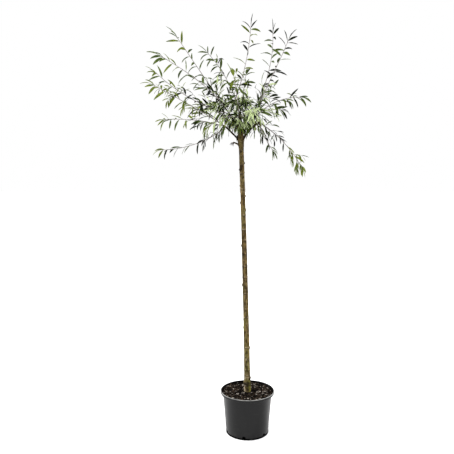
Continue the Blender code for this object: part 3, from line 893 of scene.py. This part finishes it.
limb = {
    "steps": 6,
    "smooth": 12,
    "sides": 28,
    "tipReach": 0.95,
    "swell": 0.0042,
    "swellSpread": 0.021,
    "lumps": 0.13,
    "lumpSize": 0.014,
    # how much of the darkening at the trunk's top the boughs take
    "age": 1.8,
}

boughPaths = {
    name: shootPath(trunkCentre(np.array(height)), azimuth, rise, 0, bend, length, limb["steps"])
    for name, (height, azimuth, rise, bend, length, _, _) in boughs.items()
}


def makeBough(name, finish):
    # The radius tapers, swells at the trunk into a collar, and rounds off at the tip
    foot, tip = boughs[name][5:]
    path = boughPaths[name]
    beyond = path[-1] + unit(path[-1] - path[-2]) * tip * limb["tipReach"]
    path = smoothed(np.vstack([path, beyond])[None], limb["smooth"])
    reach = np.append(0, np.cumsum(np.linalg.norm(np.diff(path[0], axis=0), axis=1)))
    radius = mix((foot, tip), reach / reach[-1]) + limb["swell"] * bell(reach / limb["swellSpread"])
    knuckle = np.clip((reach - reach[-1] + tip) / tip, 0, 1)
    radius = radius * np.sqrt(np.maximum(1 - knuckle**2, 0.002))
    turn = turns(limb["sides"])
    ring = np.stack([np.cos(turn), np.sin(turn), 0 * turn], -1)
    spot = path[0][:, None] / limb["lumpSize"] + ring * 1.2
    uneven = 1 + limb["lumps"] * ripples(spot, len(name), 3)
    points, faces = tubes(path, (radius[:, None] * uneven)[None], limb["sides"])
    scar = np.clip(0.25 - ripples(spot * 0.8, len(name) + 5, 2) * 0.8, 0, 0.8)
    values = {"scar": np.append(scar.ravel(), [0, 0.3]), "high": np.full(len(points), limb["age"])}
    words = name.split("_")
    title = words[0] + "".join(word.capitalize() for word in words[1:])
    settle(newPiece(title, points, faces, finish, values=values), "bark", name)


for name in boughs:
    makeBough(name, bark)
print("boughs made")


# Shoots: the bough that carries each, then its stem's azimuth, rise, swing, bend and length,
# and how long its side twigs are against the usual

shoots = {
    "foliage_left_rising": ("bough_left", 182, 55, 8, 0, 0.52, 1.0),
    "foliage_left_upper": ("bough_left", 247, 30, -54, -2, 0.555, 1.0),
    "foliage_left_middle": ("bough_left", 152, 15, 20, 28, 0.535, 1.0),
    "foliage_centre_top": ("bough_left", 0, 66, 2, 20, 0.50, 1.0),
    "foliage_left_spray": ("bough_left_low", 218, 26, -45, 3, 0.48, 1.0),
    "foliage_left_level": ("bough_left_low", 150, 16, -4, -17, 0.45, 0.75),
    "foliage_left_weeping": ("bough_left_low", 196, -38, -17, 37, 0.395, 0.45),
    "foliage_centre_back": ("bough_centre", 78, 51, 0, 4, 0.30, 1.0),
    "foliage_right_rising": ("bough_right", 77, 43, -67, 51, 0.575, 1.0),
    "foliage_right_outer": ("bough_right", 290, 52, 71, 16, 0.465, 1.0),
    "foliage_right_level": ("bough_right", 13, 46, 4, -47, 0.31, 0.8),
    "foliage_right_weeping": ("bough_right_low", 3, -31, 2, -30, 0.355, 0.55),
    "foliage_right_inner": ("bough_right_low", 287, -52, 28, 5, 0.205, 0.55),
    "foliage_front": ("bough_front", 263, 40, -1, -9, 0.32, 1.0),
    "foliage_front_left": ("bough_front", 203, 10, 0, -57, 0.20, 1.0),
    "foliage_front_right": ("bough_front", 318, 18, -58, -34, 0.21, 1.0),
    "foliage_back_high": ("bough_back", 157, 79, 6, -33, 0.485, 1.0),
    "foliage_back_left": ("bough_back", 142, 26, -14, -10, 0.37, 1.0),
    "foliage_back_right": ("bough_back", 41, 36, -6, -40, 0.35, 1.0),
}

growth = {
    "stemSteps": 8,
    "twigSteps": 2,
    "twigShares": (0.03, 0.40),
    "twigSpacing": 0.020,
    "twigLengths": (0.108, 0.058),
    "twigJitter": (0.2, 0.8),
    "twigLean": 52,
    "twigLeanSpread": 10,
    "twigDroop": 25,
    "twigTries": (1, 0.6, 0.4),
    "twigRadius": 0.0021,
    "leafSpacing": 0.027,
    "leafCrowding": 0.65,
    "leafLean": 48,
    "leafLeanSpread": 12,
    "leafSizes": (0.82, 1.12),
    "leafHang": 0.25,
    "fanHang": 0.4,  # as a share of the other leaves' hang
    "leafRoll": 70,
    "sprayLeaves": 4,
    "stemLeafShares": (0.10, 0.965),
    "twigLeafShares": (0.25, 0.90),
    "leafLength": 0.080,
    "leafHalf": 0.10625,  # the solid leaf's half width and keel, as shares of its length
    "leafKeel": 0.036,
    "leafFoot": 0.0015 / 0.017,  # how narrow it is at its foot
    "leafMiddle": (0.42, 0, 0.07),
    "leafPoint": (1, 0, -0.16),
    "goldenAngle": 137.5,
    "turnTries": (0, 110, 220),
    "spaceMargin": 0.002,
    "woodMargin": 0.0015,
    "seed": 41,
}

# What the scene adds: finer twigs on the stems, the side twigs and the boughs' outer ends,
# within the crown's dense middle, which narrows downwards. From the fade's first value on,
# as a share of its reach, fewer and fewer are kept
fine = {
    "spacing": 0.0115,
    "stemSpacing": 0.0090,
    "stemShares": (0.0, 0.45),
    "twigShares": (0.12, 0.92),
    "jitter": (0.1, 0.9),
    "lengths": (0.078, 0.045),
    "unevenness": (0.6, 1.1),
    "lean": (32, 72),
    "droop": 34,
    "steps": 4,
    "leafSpacing": 0.0070,
    "leafShares": (0.12, 0.94),
    "leafSizes": (0.036, 0.0565),
    "leafLean": (34, 64),
    "hang": (0.75, 0.15),  # of a leaf at the foot and at the top of the dense middle
    "fade": (0.46, 0.44),
    "middle": (-0.065, 0.0, 1.940),
    "reach": (0.195, 0.190, 0.120),
    "narrowing": 0.45,
    "seed": 5,
}

# Fine twigs on the boughs: from and to which share of the bough, and how many
boughTwigs = {
    "bough_left": (0.80, 1.0, 4),
    "bough_centre": (0.50, 1.0, 9),
    "bough_right": (0.45, 1.0, 9),
    "bough_right_low": (0.60, 0.90, 2),
    "bough_front": (0.46, 1.0, 14),
    "bough_back": (0.50, 1.0, 8),
}

# How many fine twigs a shoot has against the usual
fineAmounts = {
    "foliage_right_inner": 0.0,
    "foliage_right_weeping": 0.25,
    "foliage_right_level": 0.35,
    "foliage_back_right": 0.45,
    "foliage_left_weeping": 0.3,
    "foliage_left_level": 0.5,
    "foliage_back_left": 0.7,
    "foliage_front_left": 0.8,
}

# Fine twigs on some shoots' outer parts: from and to which share of the stem, and how many
outerTwigs = {
    "foliage_front_right": (0.35, 0.95, 5),
    "foliage_right_weeping": (0.60, 0.94, 5),
    "foliage_left_spray": (0.42, 0.90, 5),
    "foliage_left_middle": (0.40, 0.85, 3),
    "foliage_back_high": (0.40, 0.78, 4),
    "foliage_right_level": (0.45, 0.90, 2),
}

# The leaves that spread at each long shoot's tip: share of the stem, lean, size and roll
tipFan = [(0.985, 24, 0.060 / 0.9, 50), (0.975, 38, 0.066 / 0.9, -50)]

names = list(shoots)
stems = {}
for name, (bough, azimuth, rise, swing, bend, length, _) in shoots.items():
    start = boughPaths[bough][-1] + heading(azimuth, rise) * (boughs[bough][6] + gap)
    stems[name] = shootPath(start, azimuth, rise, swing, bend, length, growth["stemSteps"])
wood = [(trunkCentre(np.linspace(trunk["foot"], trunk["top"], 23)), trunk["topRadius"] + trunk["forkSwell"])]
wood += [(path, boughs[name][5]) for name, path in boughPaths.items()]


def clearOfWood(points, thickness):
    reach = thickness + growth["woodMargin"]
    return all((distanceTo(points, path) >= radius + reach).all() for path, radius in wood)


def holds(name, points, thickness):
    # Nearer its own stem than any other, and clear of the wood
    room = distanceTo(points, stems[name]) + 2 * (growth["spaceMargin"] + thickness)
    for other, path in stems.items():
        if other != name and (distanceTo(points, path) < room).any():
            return False
    return clearOfWood(points, thickness)


def triedOutline():
    # The solid leaf of unit length along X: a small triangle at its foot, a wide one, its point,
    # and the places halfway between them
    half, keel = growth["leafHalf"], growth["leafKeel"]
    section = np.array([(0, half, 0), (0, -half, 0), (0, 0, -keel)])
    foot = section * growth["leafFoot"]
    middle = section + growth["leafMiddle"]
    tip = np.array([growth["leafPoint"]])
    return np.vstack([foot, middle, tip, (foot + middle) / 2, (middle + tip) / 2])


leafOutline = triedOutline()


def leafSamples(place, way, size, roll):
    # place + size * (x ahead + y across + z up), with across and up turned by the roll
    across = np.cross((0, 0, 1), way)
    if np.linalg.norm(across) < 0.1:
        across = np.cross((0, 1, 0), way)
    across = across / np.linalg.norm(across)
    up = np.cross(way, across)
    turn = math.radians(roll)
    axes = [way, across * math.cos(turn) + up * math.sin(turn), up * math.cos(turn) - across * math.sin(turn)]
    return place + leafOutline @ np.array(axes) * size


def twigPath(place, way, droop, length, steps):
    # It starts along the way and bends down evenly by the droop
    azimuth = math.degrees(math.atan2(way[1], way[0]))
    rise = math.degrees(math.asin(way[2]))
    return shootPath(place, azimuth, rise, 0, -droop, length, steps)


def fittingTwig(name, place, direction, lean, spin, longest):
    # The longest of a few lengths and sides that keeps to its space, or None
    for length in longest * np.array(growth["twigTries"]):
        for turn in growth["turnTries"]:
            way = turned(direction, lean, spin + turn)
            path = twigPath(place, way, growth["twigDroop"], length, growth["twigSteps"])
            if holds(name, path, growth["twigRadius"]):
                return path
    return None


def fittingLeaf(name, place, direction, lean, spin, size, roll):
    for turn in growth["turnTries"]:
        way = unit(turned(direction, lean, spin + turn) - (0, 0, growth["leafHang"]))
        if holds(name, leafSamples(place, way, size, roll), 0):
            return way
    return None


def grow(name):
    # Side twigs leave the stem by the golden angle, longest near the head, and leaves leave
    # stem and twigs the same way, nearer together towards the tip: the share is
    # first + (last - first) * i^crowding, for i from 0 to 1. The draws come in the solids' order
    g = growth
    random = np.random.default_rng([g["seed"], names.index(name)])
    stem = stems[name]
    length, side = shoots[name][5:]
    first, last = g["twigShares"]
    count = max(3, round(length * (last - first) / g["twigSpacing"]))
    spin = random.uniform(0, 360)
    twigs = []
    for i in range(count):
        share = first + (last - first) * (i + random.uniform(*g["twigJitter"])) / count
        spin += g["goldenAngle"]
        lean = g["twigLean"] + random.uniform(-g["twigLeanSpread"], g["twigLeanSpread"])
        longest = side * mix(g["twigLengths"], i / count)
        twig = fittingTwig(name, *along(stem, share), lean, spin, longest)
        if twig is not None:
            twigs.append(twig)
    leaves = []  # place, way, size, roll, share of the stem, and number of the spray
    for line in [stem, *twigs]:
        onStem = line is stem
        first, last = g["stemLeafShares"] if onStem else g["twigLeafShares"]
        count = max(2, round(lengthOf(line) * (last - first) / g["leafSpacing"]))
        spin = random.uniform(0, 360)
        spray = len(leaves)
        for i, share in enumerate(first + (last - first) * np.linspace(0, 1, count) ** g["leafCrowding"]):
            place, direction = along(line, share)
            spin += g["goldenAngle"]
            lean = g["leafLean"] + random.uniform(-g["leafLeanSpread"], g["leafLeanSpread"])
            size = g["leafLength"] * random.uniform(*g["leafSizes"])
            roll = random.uniform(-g["leafRoll"], g["leafRoll"])
            way = fittingLeaf(name, place, direction, lean, spin, size, roll)
            if way is not None:
                leaves.append((place, way, size, roll, share if onStem else 0, spray + i // g["sprayLeaves"]))
        tip, direction = along(line, 1)
        spray += count // g["sprayLeaves"]
        if holds(name, leafSamples(tip, direction, g["leafLength"], 0), 0):
            leaves.append((tip, direction, g["leafLength"], 0, int(onStem), spray))
        if onStem:
            for k, (share, lean, size, roll) in enumerate(tipFan):
                place, direction = along(line, share)
                way = unit(turned(direction, lean, spin + 180 * k) - (0, 0, g["leafHang"] * g["fanHang"]))
                leaves.append((place, way, size, roll, 1, spray))
    return twigs, leaves


def crownShare(point):
    # 0 in the dense middle, 1 at its surface: the length of (point - middle) / reach, whose
    # level reach narrows below the middle
    away = (point - np.array(fine["middle"])) / fine["reach"]
    away[:2] /= 1 - fine["narrowing"] * np.clip(-away[2], 0, 1)
    return np.linalg.norm(away)


def growFiner(random, line, shares, count, low, high, outer=False):
    # Finer twigs leave one line, each with its own leaves, by the same rule at a smaller scale.
    # Each has to be clear of the wood and within the box from low to high
    spin = random.uniform(0, 360)
    twigs = []
    leaves = []
    for i in range(count):
        share = mix(shares, (i + random.uniform(*fine["jitter"])) / count)
        place, direction = along(line, share)
        spin += growth["goldenAngle"]
        way = turned(direction, random.uniform(*fine["lean"]), spin)
        length = np.interp(share, (0, 1), fine["lengths"]) * random.uniform(*fine["unevenness"])
        twig = twigPath(place, way, fine["droop"], length, fine["steps"])
        number = max(2, round(length * (fine["leafShares"][1] - fine["leafShares"][0]) / fine["leafSpacing"]))
        draws = random.random((number + 1, 4))
        within = crownShare(twig[-1]) < fine["fade"][0] + fine["fade"][1] * random.random() ** 2
        fits = clearOfWood(twig[2:], 0) and (twig > low).all() and (twig < high).all()
        if not (fits and (outer or within)):
            continue
        twigs.append(twig)
        height = (twig[-1, 2] - fine["middle"][2]) / fine["reach"][2] / 2 + 0.5
        hang = np.interp(height, (0, 1), fine["hang"])
        leafSpin = 360 * draws[0, 0]
        for spot, draw in zip([*np.linspace(*fine["leafShares"], number), 1.0], draws):
            base, ahead = along(twig, spot)
            leafSpin += growth["goldenAngle"]
            leafLean = 0 if spot == 1 else mix(fine["leafLean"], draw[1])
            leafWay = unit(turned(ahead, leafLean, leafSpin) - (0, 0, hang))
            size, roll = mix(fine["leafSizes"], draw[2]), growth["leafRoll"] * (2 * draw[3] - 1)
            samples = leafSamples(base, leafWay, size, roll)
            if clearOfWood(samples[3:], 0) and (samples > low).all() and (samples < high).all():
                leaves.append((base, leafWay, size, roll))
    return twigs, leaves


twigs = {
    # From which list of paths, smoothing steps, radius at the foot and at the tip, the foot's
    # swelling, sides, then the lowest and highest colour at the foot and at the tip
    "longShoots": ("stems", 8, (0.0030, 0.0014, 0.0020), 9, (
        (0.018, 0.013, 0.008), (0.080, 0.062, 0.040), (0.150, 0.130, 0.122), (0.340, 0.310, 0.310))),
    "sideTwigs": ("side", 6, (0.0013, 0.0007, 0.0008), 7, (
        (0.010, 0.011, 0.004), (0.042, 0.044, 0.018), (0.034, 0.042, 0.012), (0.105, 0.120, 0.045))),
    "fineTwigs": ("fine", 3, (0.0007, 0.0004, 0.0004), 6, (
        (0.010, 0.014, 0.003), (0.042, 0.050, 0.014), (0.034, 0.052, 0.010), (0.110, 0.145, 0.040))),
}

# A pointed bud over each leaf's foot: the radius at even steps from its start to its end
buds = {
    "reach": (0.0008, 0.0056),
    "radii": (0.0009, 0.0015, 0.0014, 0.0008, 0.0002),
    "sides": 6,
    "upward": 0.9,
}
swollenShare = 0.04  # of a twig's length


def twigFinish(title, colours):
    # The value along is 0 at each twig's foot and 1 at its tip
    sheet = Sheet(title, 0.08)
    streak = sheet.noise(340.0)
    share = sheet.between(streak * 0.4 + sheet.noise(45.0) * 0.6, 0.36, 0.64)
    colour = sheet.fourfold(sheet.between(sheet.value("along"), 0.12, 0.50), share, colours)
    return sheet.finished(colour, 0.55 + streak * 0.3, streak, 0.0006, 0.5)


# Leaves: a lance shape that is folded along its midrib, arches over and ends in a point

leaf = {
    "widths": (0.205, 0.170),  # of larger and of smaller leaves, as shares of their length
    "smallBelow": 0.057,
    "unevenness": (0.85, 1.15),
    "widest": 0.42,
    "fullness": 0.85,
    "bladeFrom": 0.09 * 0.8,  # a little before the stalk's end
    "stalk": 0.09,
    "stalkHalf": 0.0006,
    "stations": (0.0, 0.09, 0.18, 0.31, 0.46, 0.62, 0.78, 0.91),
    "fold": 22,
    "foldRange": (0.5, 1.3),
    "thickness": 0.0008,
    "droop": (16, 60),
    "levelDroop": 0.75,  # the share of it that an upright leaf goes without
    "twist": 40,
    "wave": 0.10,
    "waveTurn": 14,
    "wavePhases": (0, 6.3),
    # How large the leaves on a stem and on its side twigs are against the solids' leaves
    "usual": (0.95, 0.72),
    "hanging": (0.78, 0.54),
    "sharpAngle": 50,
    "seed": 73,
}

leafTones = {  # the upper side's lowest and highest colour, then the under side's
    "silver": ((0.212, 0.268, 0.112), (0.432, 0.512, 0.266), (0.324, 0.385, 0.182), (0.555, 0.630, 0.374)),
    "sage": ((0.013, 0.025, 0.003), (0.051, 0.079, 0.013), (0.038, 0.060, 0.011), (0.095, 0.133, 0.032)),
    # near-black painted shade for leaves inside and under the crown
    "deep": ((0.0008, 0.0022, 0.0003), (0.0056, 0.0104, 0.0010),
             (0.0032, 0.0064, 0.0007), (0.012, 0.0195, 0.0029)),
    "young": ((0.042, 0.064, 0.0035), (0.111, 0.146, 0.012), (0.073, 0.101, 0.0095), (0.165, 0.204, 0.030)),
}

# How often a spray takes each tone, in the order above, at the stem's foot and at its tip
toneShares = {
    "usual": ((0.05, 0.42, 0.45, 0.08), (0.0, 0.44, 0.32, 0.24)),
    "foliage_centre_back": ((0.12, 0.56, 0.24, 0.08), (0.12, 0.72, 0.04, 0.12)),
    "foliage_left_middle": ((0.06, 0.30, 0.36, 0.28), (0.0, 0.20, 0.08, 0.72)),
    "foliage_left_spray": ((0.06, 0.30, 0.36, 0.28), (0.0, 0.22, 0.08, 0.70)),
    "foliage_left_weeping": ((0.0, 0.22, 0.76, 0.02), (0.0, 0.30, 0.34, 0.36)),
    "foliage_right_weeping": ((0.02, 0.28, 0.66, 0.04), (0.0, 0.12, 0.03, 0.85)),
    "foliage_right_inner": ((0.06, 0.30, 0.60, 0.04), (0.06, 0.34, 0.52, 0.08)),
    "foliage_front_right": ((0.50, 0.32, 0.14, 0.04), (0.62, 0.26, 0.08, 0.04)),
}

# The same for the crown's dense middle, at its heart and at its surface; the heart takes mostly the
# painted-shade tone
middleShares = {
    "usual": ((0.12, 0.22, 0.65, 0.01), (0.29, 0.37, 0.31, 0.03)),
    "foliage_front_right": ((0.20, 0.34, 0.44, 0.02), (0.38, 0.36, 0.23, 0.03)),
    "bough_front": ((0.22, 0.30, 0.46, 0.02), (0.32, 0.34, 0.31, 0.03)),
}
depth = (0.35, 0.85)  # crownShare at the heart and at the surface


def leafFinish(title, colours):
    # The value under is 0 along the midrib's upper side and 1 along its underside
    sheet = Sheet(title, 0.04)
    mottle = sheet.noise(520.0)
    share = sheet.between(sheet.noise(30.0, 2.0) * 0.7 + mottle * 0.3, 0.36, 0.64)
    side = sheet.between(sheet.value("under"), 0.47, 0.53)
    roughness = 0.42 + side * 0.3 + mottle * 0.1
    return sheet.finished(sheet.fourfold(side, share, colours), roughness, mottle, 0.0005, 0.4)


def leafSurface(place, way, size, turn, random):
    # Each middle line is an arc that bends down evenly. At each station the section has
    # four points: two edges raised by the fold, and the midrib's top and underside. The
    # section is turned about the middle line by the leaf's roll and by a twist to its tip
    count = len(place)
    station = np.array(leaf["stations"])
    blade = np.clip((station - leaf["bladeFrom"]) / (1 - leaf["bladeFrom"]), 0, 1)
    power = leaf["widest"] / (1 - leaf["widest"])
    peak = leaf["widest"] ** power * (1 - leaf["widest"])
    outline = np.maximum(blade**power * (1 - blade) / peak, 0) ** leaf["fullness"]
    level = 1 - leaf["levelDroop"] + leaf["levelDroop"] * np.hypot(way[:, 0], way[:, 1])
    droop = random.uniform(*leaf["droop"], count) * level
    azimuth = np.degrees(np.arctan2(way[:, 1], way[:, 0]))
    rise = np.degrees(np.arcsin(np.clip(way[:, 2], -1, 1)))
    middle = (station[1:] + station[:-1]) / 2
    step = heading(azimuth[:, None], rise[:, None] - droop[:, None] * middle) * np.diff(station)[:, None]
    path = np.concatenate([np.zeros((count, 1, 3)), np.cumsum(step, axis=1)], axis=1)
    tip = path[:, -1:] + heading(azimuth, rise - droop)[:, None] * (1 - station[-1])
    path = np.concatenate([path, tip], axis=1) * size[:, None, None] + place[:, None]
    ahead = unit(np.gradient(path, axis=1))
    aside = heading(azimuth + 90, 0 * azimuth)[:, None]
    above = np.cross(ahead, aside)
    twist = random.uniform(-1, 1, count) * leaf["twist"]
    roll = np.radians(turn[:, None] + twist[:, None] * np.append(station, 1))[..., None]
    across = aside * np.cos(roll) + above * np.sin(roll)
    up = np.cross(ahead, across)[:, :-1]
    width = size * np.where(size < leaf["smallBelow"], leaf["widths"][1], leaf["widths"][0]) / 2
    half = (width * random.uniform(*leaf["unevenness"], count))[:, None, None] * outline[:, None]
    half = np.maximum(half, leaf["stalkHalf"])
    fold = np.radians(leaf["fold"]) * random.uniform(*leaf["foldRange"], count)[:, None, None]
    phase = random.uniform(*leaf["wavePhases"], count)[:, None, None]
    wave = leaf["wave"] * half * np.sin(station[:, None] * leaf["waveTurn"] + phase)
    reach = half * np.cos(fold) * across[:, :-1]
    lift = half * np.sin(fold)
    thick = np.where(station < leaf["stalk"] + 0.01, leaf["stalkHalf"], leaf["thickness"] / 2)[:, None]
    line = path[:, :-1]
    rows = [line - reach + up * (lift + wave), line - up * thick,
            line + reach + up * (lift - wave), line + up * thick]
    rings = np.stack(rows, 2).reshape(count, -1, 3)
    points = np.concatenate([rings, path[:, :1], path[:, -1:]], axis=1)
    faces = [repeated(part, count, points.shape[1]) for part in closedTube(len(station), len(rows))]
    under = np.append(np.tile([0.5, 1.0, 0.5, 0.0], len(station)), [0.5, 0.5])
    return points.reshape(-1, 3), faces, {"under": np.tile(under, count)}


def makeLeaves(title, colours, nodes, place, way, size, roll, random):
    points, faces, values = leafSurface(place, way, size, roll, random)
    finish = leafFinish(title, colours)
    settle(newPiece(title, points, faces, finish, leaf["sharpAngle"], values), "leaf_green", *nodes)


def spaced(line, shares, spacing, amount):
    return round(amount * max(2, lengthOf(line) * (shares[1] - shares[0]) / spacing))


def chosenTone(random, name, place, share):
    # By depth in the dense middle, where sprays deeper in take more of the painted-shade tone, and beyond it
    # by the share of the shoot
    within = crownShare(place)
    table = toneShares
    if within < 1:
        table = middleShares
        share = np.interp(within, depth, (0, 1))
    first, last = np.array(table.get(name, table["usual"]))
    return random.choice(len(first), p=first + (last - first) * share)


def addFiner(crown, draws, random, name, line, *rule):
    # Two leaves at a time take one tone
    finer, small = growFiner(draws, line, *rule)
    crown["fine"] += finer
    for first in range(0, len(small), 2):
        spray = small[first:first + 2]
        tone = chosenTone(random, name, spray[0][0], 1)
        crown["leaves"] += [(*each, tone) for each in spray]


def growCrown():
    # Every leaf as place, way, size, roll and tone, dealt out by spray, and the twigs' paths
    random = np.random.default_rng(leaf["seed"])
    crown = {"stems": [], "side": [], "fine": [], "axils": [], "leaves": []}
    whole = [np.array(corner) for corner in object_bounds()]
    for name in names:
        side, leaves = grow(name)
        crown["stems"].append(np.vstack([boughPaths[shoots[name][0]][-1], stems[name]]))
        crown["side"] += side
        scales = leaf["hanging" if shoots[name][2] < 0 else "usual"]
        sprays = {}
        for place, way, size, roll, share, spray in leaves:
            if spray not in sprays:
                sprays[spray] = chosenTone(random, name, place, share)
            crown["leaves"].append((place, way, size * scales[0 if share else 1], roll, sprays[spray]))
            crown["axils"].append((place, way))
        draws = np.random.default_rng([fine["seed"], names.index(name)])
        box = [np.array(corner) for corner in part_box(name)]
        lines = [(stems[name], fine["stemShares"], fine["stemSpacing"])]
        lines += [(line, fine["twigShares"], fine["spacing"]) for line in side]
        for line, shares, spacing in lines:
            count = spaced(line, shares, spacing, fineAmounts.get(name, 1.0))
            addFiner(crown, draws, random, name, line, shares, count, *box)
        if name in outerTwigs:
            *shares, count = outerTwigs[name]
            addFiner(crown, draws, random, name, stems[name], shares, count, *box, True)
    draws = np.random.default_rng([fine["seed"], len(names)])
    for name, (*shares, count) in boughTwigs.items():
        addFiner(crown, draws, random, name, boughPaths[name], shares, count, *whole, True)
    return crown


def makeTwigs(title, paths, smooth, radii, sides, colours):
    # Round twigs that taper evenly from the first radius to the second, with a swollen foot
    paths = smoothed(np.array(paths), smooth)
    share = np.linspace(0, 1, paths.shape[1])
    radius = mix(radii, share) + radii[2] * bell(share / swollenShare)
    surface = tubes(paths, np.repeat(radius[None], len(paths), 0), sides)
    values = {"along": np.tile(np.append(np.repeat(share, sides), [0, 1]), len(paths))}
    settle(newPiece(title, *surface, twigFinish(title, colours), values=values), "bark", *names)


def makeBuds(axils):
    # Each bud lies between its leaf and the stem
    place, way = np.array(axils).transpose(1, 0, 2)[:, :, None]
    steps = np.linspace(*buds["reach"], len(buds["radii"]))[:, None]
    paths = place + unit(way + (0, 0, buds["upward"])) * steps
    radii = np.repeat([buds["radii"]], len(axils), 0)
    finish = twigFinish("buds", twigs["sideTwigs"][-1])
    settle(newPiece("buds", *tubes(paths, radii, buds["sides"]), finish), "bark", *names)


def makeFoliage():
    crown = growCrown()
    *shape, tone = (np.array(values) for values in zip(*crown["leaves"]))
    print(len(tone), "leaves,", len(crown["side"]), "side twigs,", len(crown["fine"]), "fine twigs")
    random = np.random.default_rng(leaf["seed"])
    for k, (key, colours) in enumerate(leafTones.items()):
        makeLeaves(key + "Leaves", colours, names, *(values[tone == k] for values in shape), random)
        print(key, np.count_nonzero(tone == k))
    for title, (key, *rule) in twigs.items():
        makeTwigs(title, crown[key], *rule)
    makeBuds(crown["axils"])


makeFoliage()
print("foliage made")


# The withered leaves that hang on the pruned stub

witheredTuft = {
    "leaves": 7,
    "sizes": (0.016, 0.028),
    "azimuths": (150, 235),
    "rises": (-70, 5),
    "rolls": (-90, 90),
    "back": 0.010,
    "tone": ((0.016, 0.014, 0.011), (0.055, 0.050, 0.042), (0.020, 0.018, 0.015), (0.070, 0.064, 0.056)),
    "seed": 3,
}


def makeWitheredTuft():
    w = witheredTuft
    random = np.random.default_rng(w["seed"])
    count = w["leaves"]
    path = stubPath()
    back = random.uniform(0, w["back"], count)
    place = path[-1] - unit(path[-1] - path[-2]) * back[:, None]
    way = heading(random.uniform(*w["azimuths"], count), random.uniform(*w["rises"], count))
    size = random.uniform(*w["sizes"], count)
    roll = random.uniform(*w["rolls"], count)
    makeLeaves("witheredTuft", w["tone"], ["trunk"], place, way, size, roll, random)


makeWitheredTuft()
print("withered tuft made")


# Floor, light and camera

studio = {
    "floorSize": 60.0,
    "floorTone": 0.86,
    "floorDrop": 0.0004,
    "backdrop": 1.0,
    "ambient": 0.55,
    "lights": {  # strength, width and turn of each sun, in degrees
        "softLight": (2.0, 34, (30, 6, 0)),
        "leftLight": (5.0, 42, (60, 0, -112)),
        "rightLight": (2.5, 40, (60, 0, 104)),
    },
}

view = {
    "place": (-0.124, -3.4, 1.625),
    "tilt": 6.18,
    "focal": 579.4,  # in pixels of the 454-pixel frame
    "frame": 454,
    "sensor": 36.0,
}


def makeStudio():
    half = studio["floorSize"] / 2
    sheet = Sheet("paleFloor", 0.1).finished((*[studio["floorTone"]] * 3, 1), 0.9)
    corners = np.array([(-1, -1, 0), (1, -1, 0), (1, 1, 0), (-1, 1, 0)]) * half - (0, 0, studio["floorDrop"])
    floor = newPiece("floor", corners, [[(0, 1, 2, 3)]], sheet)

    world = bpy.data.worlds.new("studio")
    bpy.context.scene.world = world
    world.use_nodes = True
    nodes, links = world.node_tree.nodes, world.node_tree.links
    seen = nodes.new("ShaderNodeLightPath")
    strength = nodes.new("ShaderNodeMapRange")
    strength.inputs["To Min"].default_value = studio["ambient"]
    strength.inputs["To Max"].default_value = studio["backdrop"]
    links.new(seen.outputs["Is Camera Ray"], strength.inputs["Value"])
    links.new(strength.outputs["Result"], nodes["Background"].inputs["Strength"])
    nodes["Background"].inputs["Color"].default_value = (1, 1, 1, 1)

    for name, (strength, width, turn) in studio["lights"].items():
        sun = bpy.data.lights.new(name, "SUN")
        sun.energy = strength
        sun.angle = math.radians(width)
        lamp = bpy.data.objects.new(name, sun)
        lamp.rotation_euler = [math.radians(angle) for angle in turn]
        bpy.context.scene.collection.objects.link(lamp)

    bpy.context.scene.view_settings.view_transform = "Standard"


def makeCamera():
    data = bpy.data.cameras.new("camera")
    data.sensor_width = view["sensor"]
    data.lens = view["focal"] / view["frame"] * view["sensor"]
    data.clip_end = 200
    camera = bpy.data.objects.new("camera", data)
    camera.location = view["place"]
    camera.rotation_euler = (math.radians(90 - view["tilt"]), 0, 0)
    bpy.context.scene.collection.objects.link(camera)
    bpy.context.scene.camera = camera


makeStudio()
makeCamera()

print("scene ready")
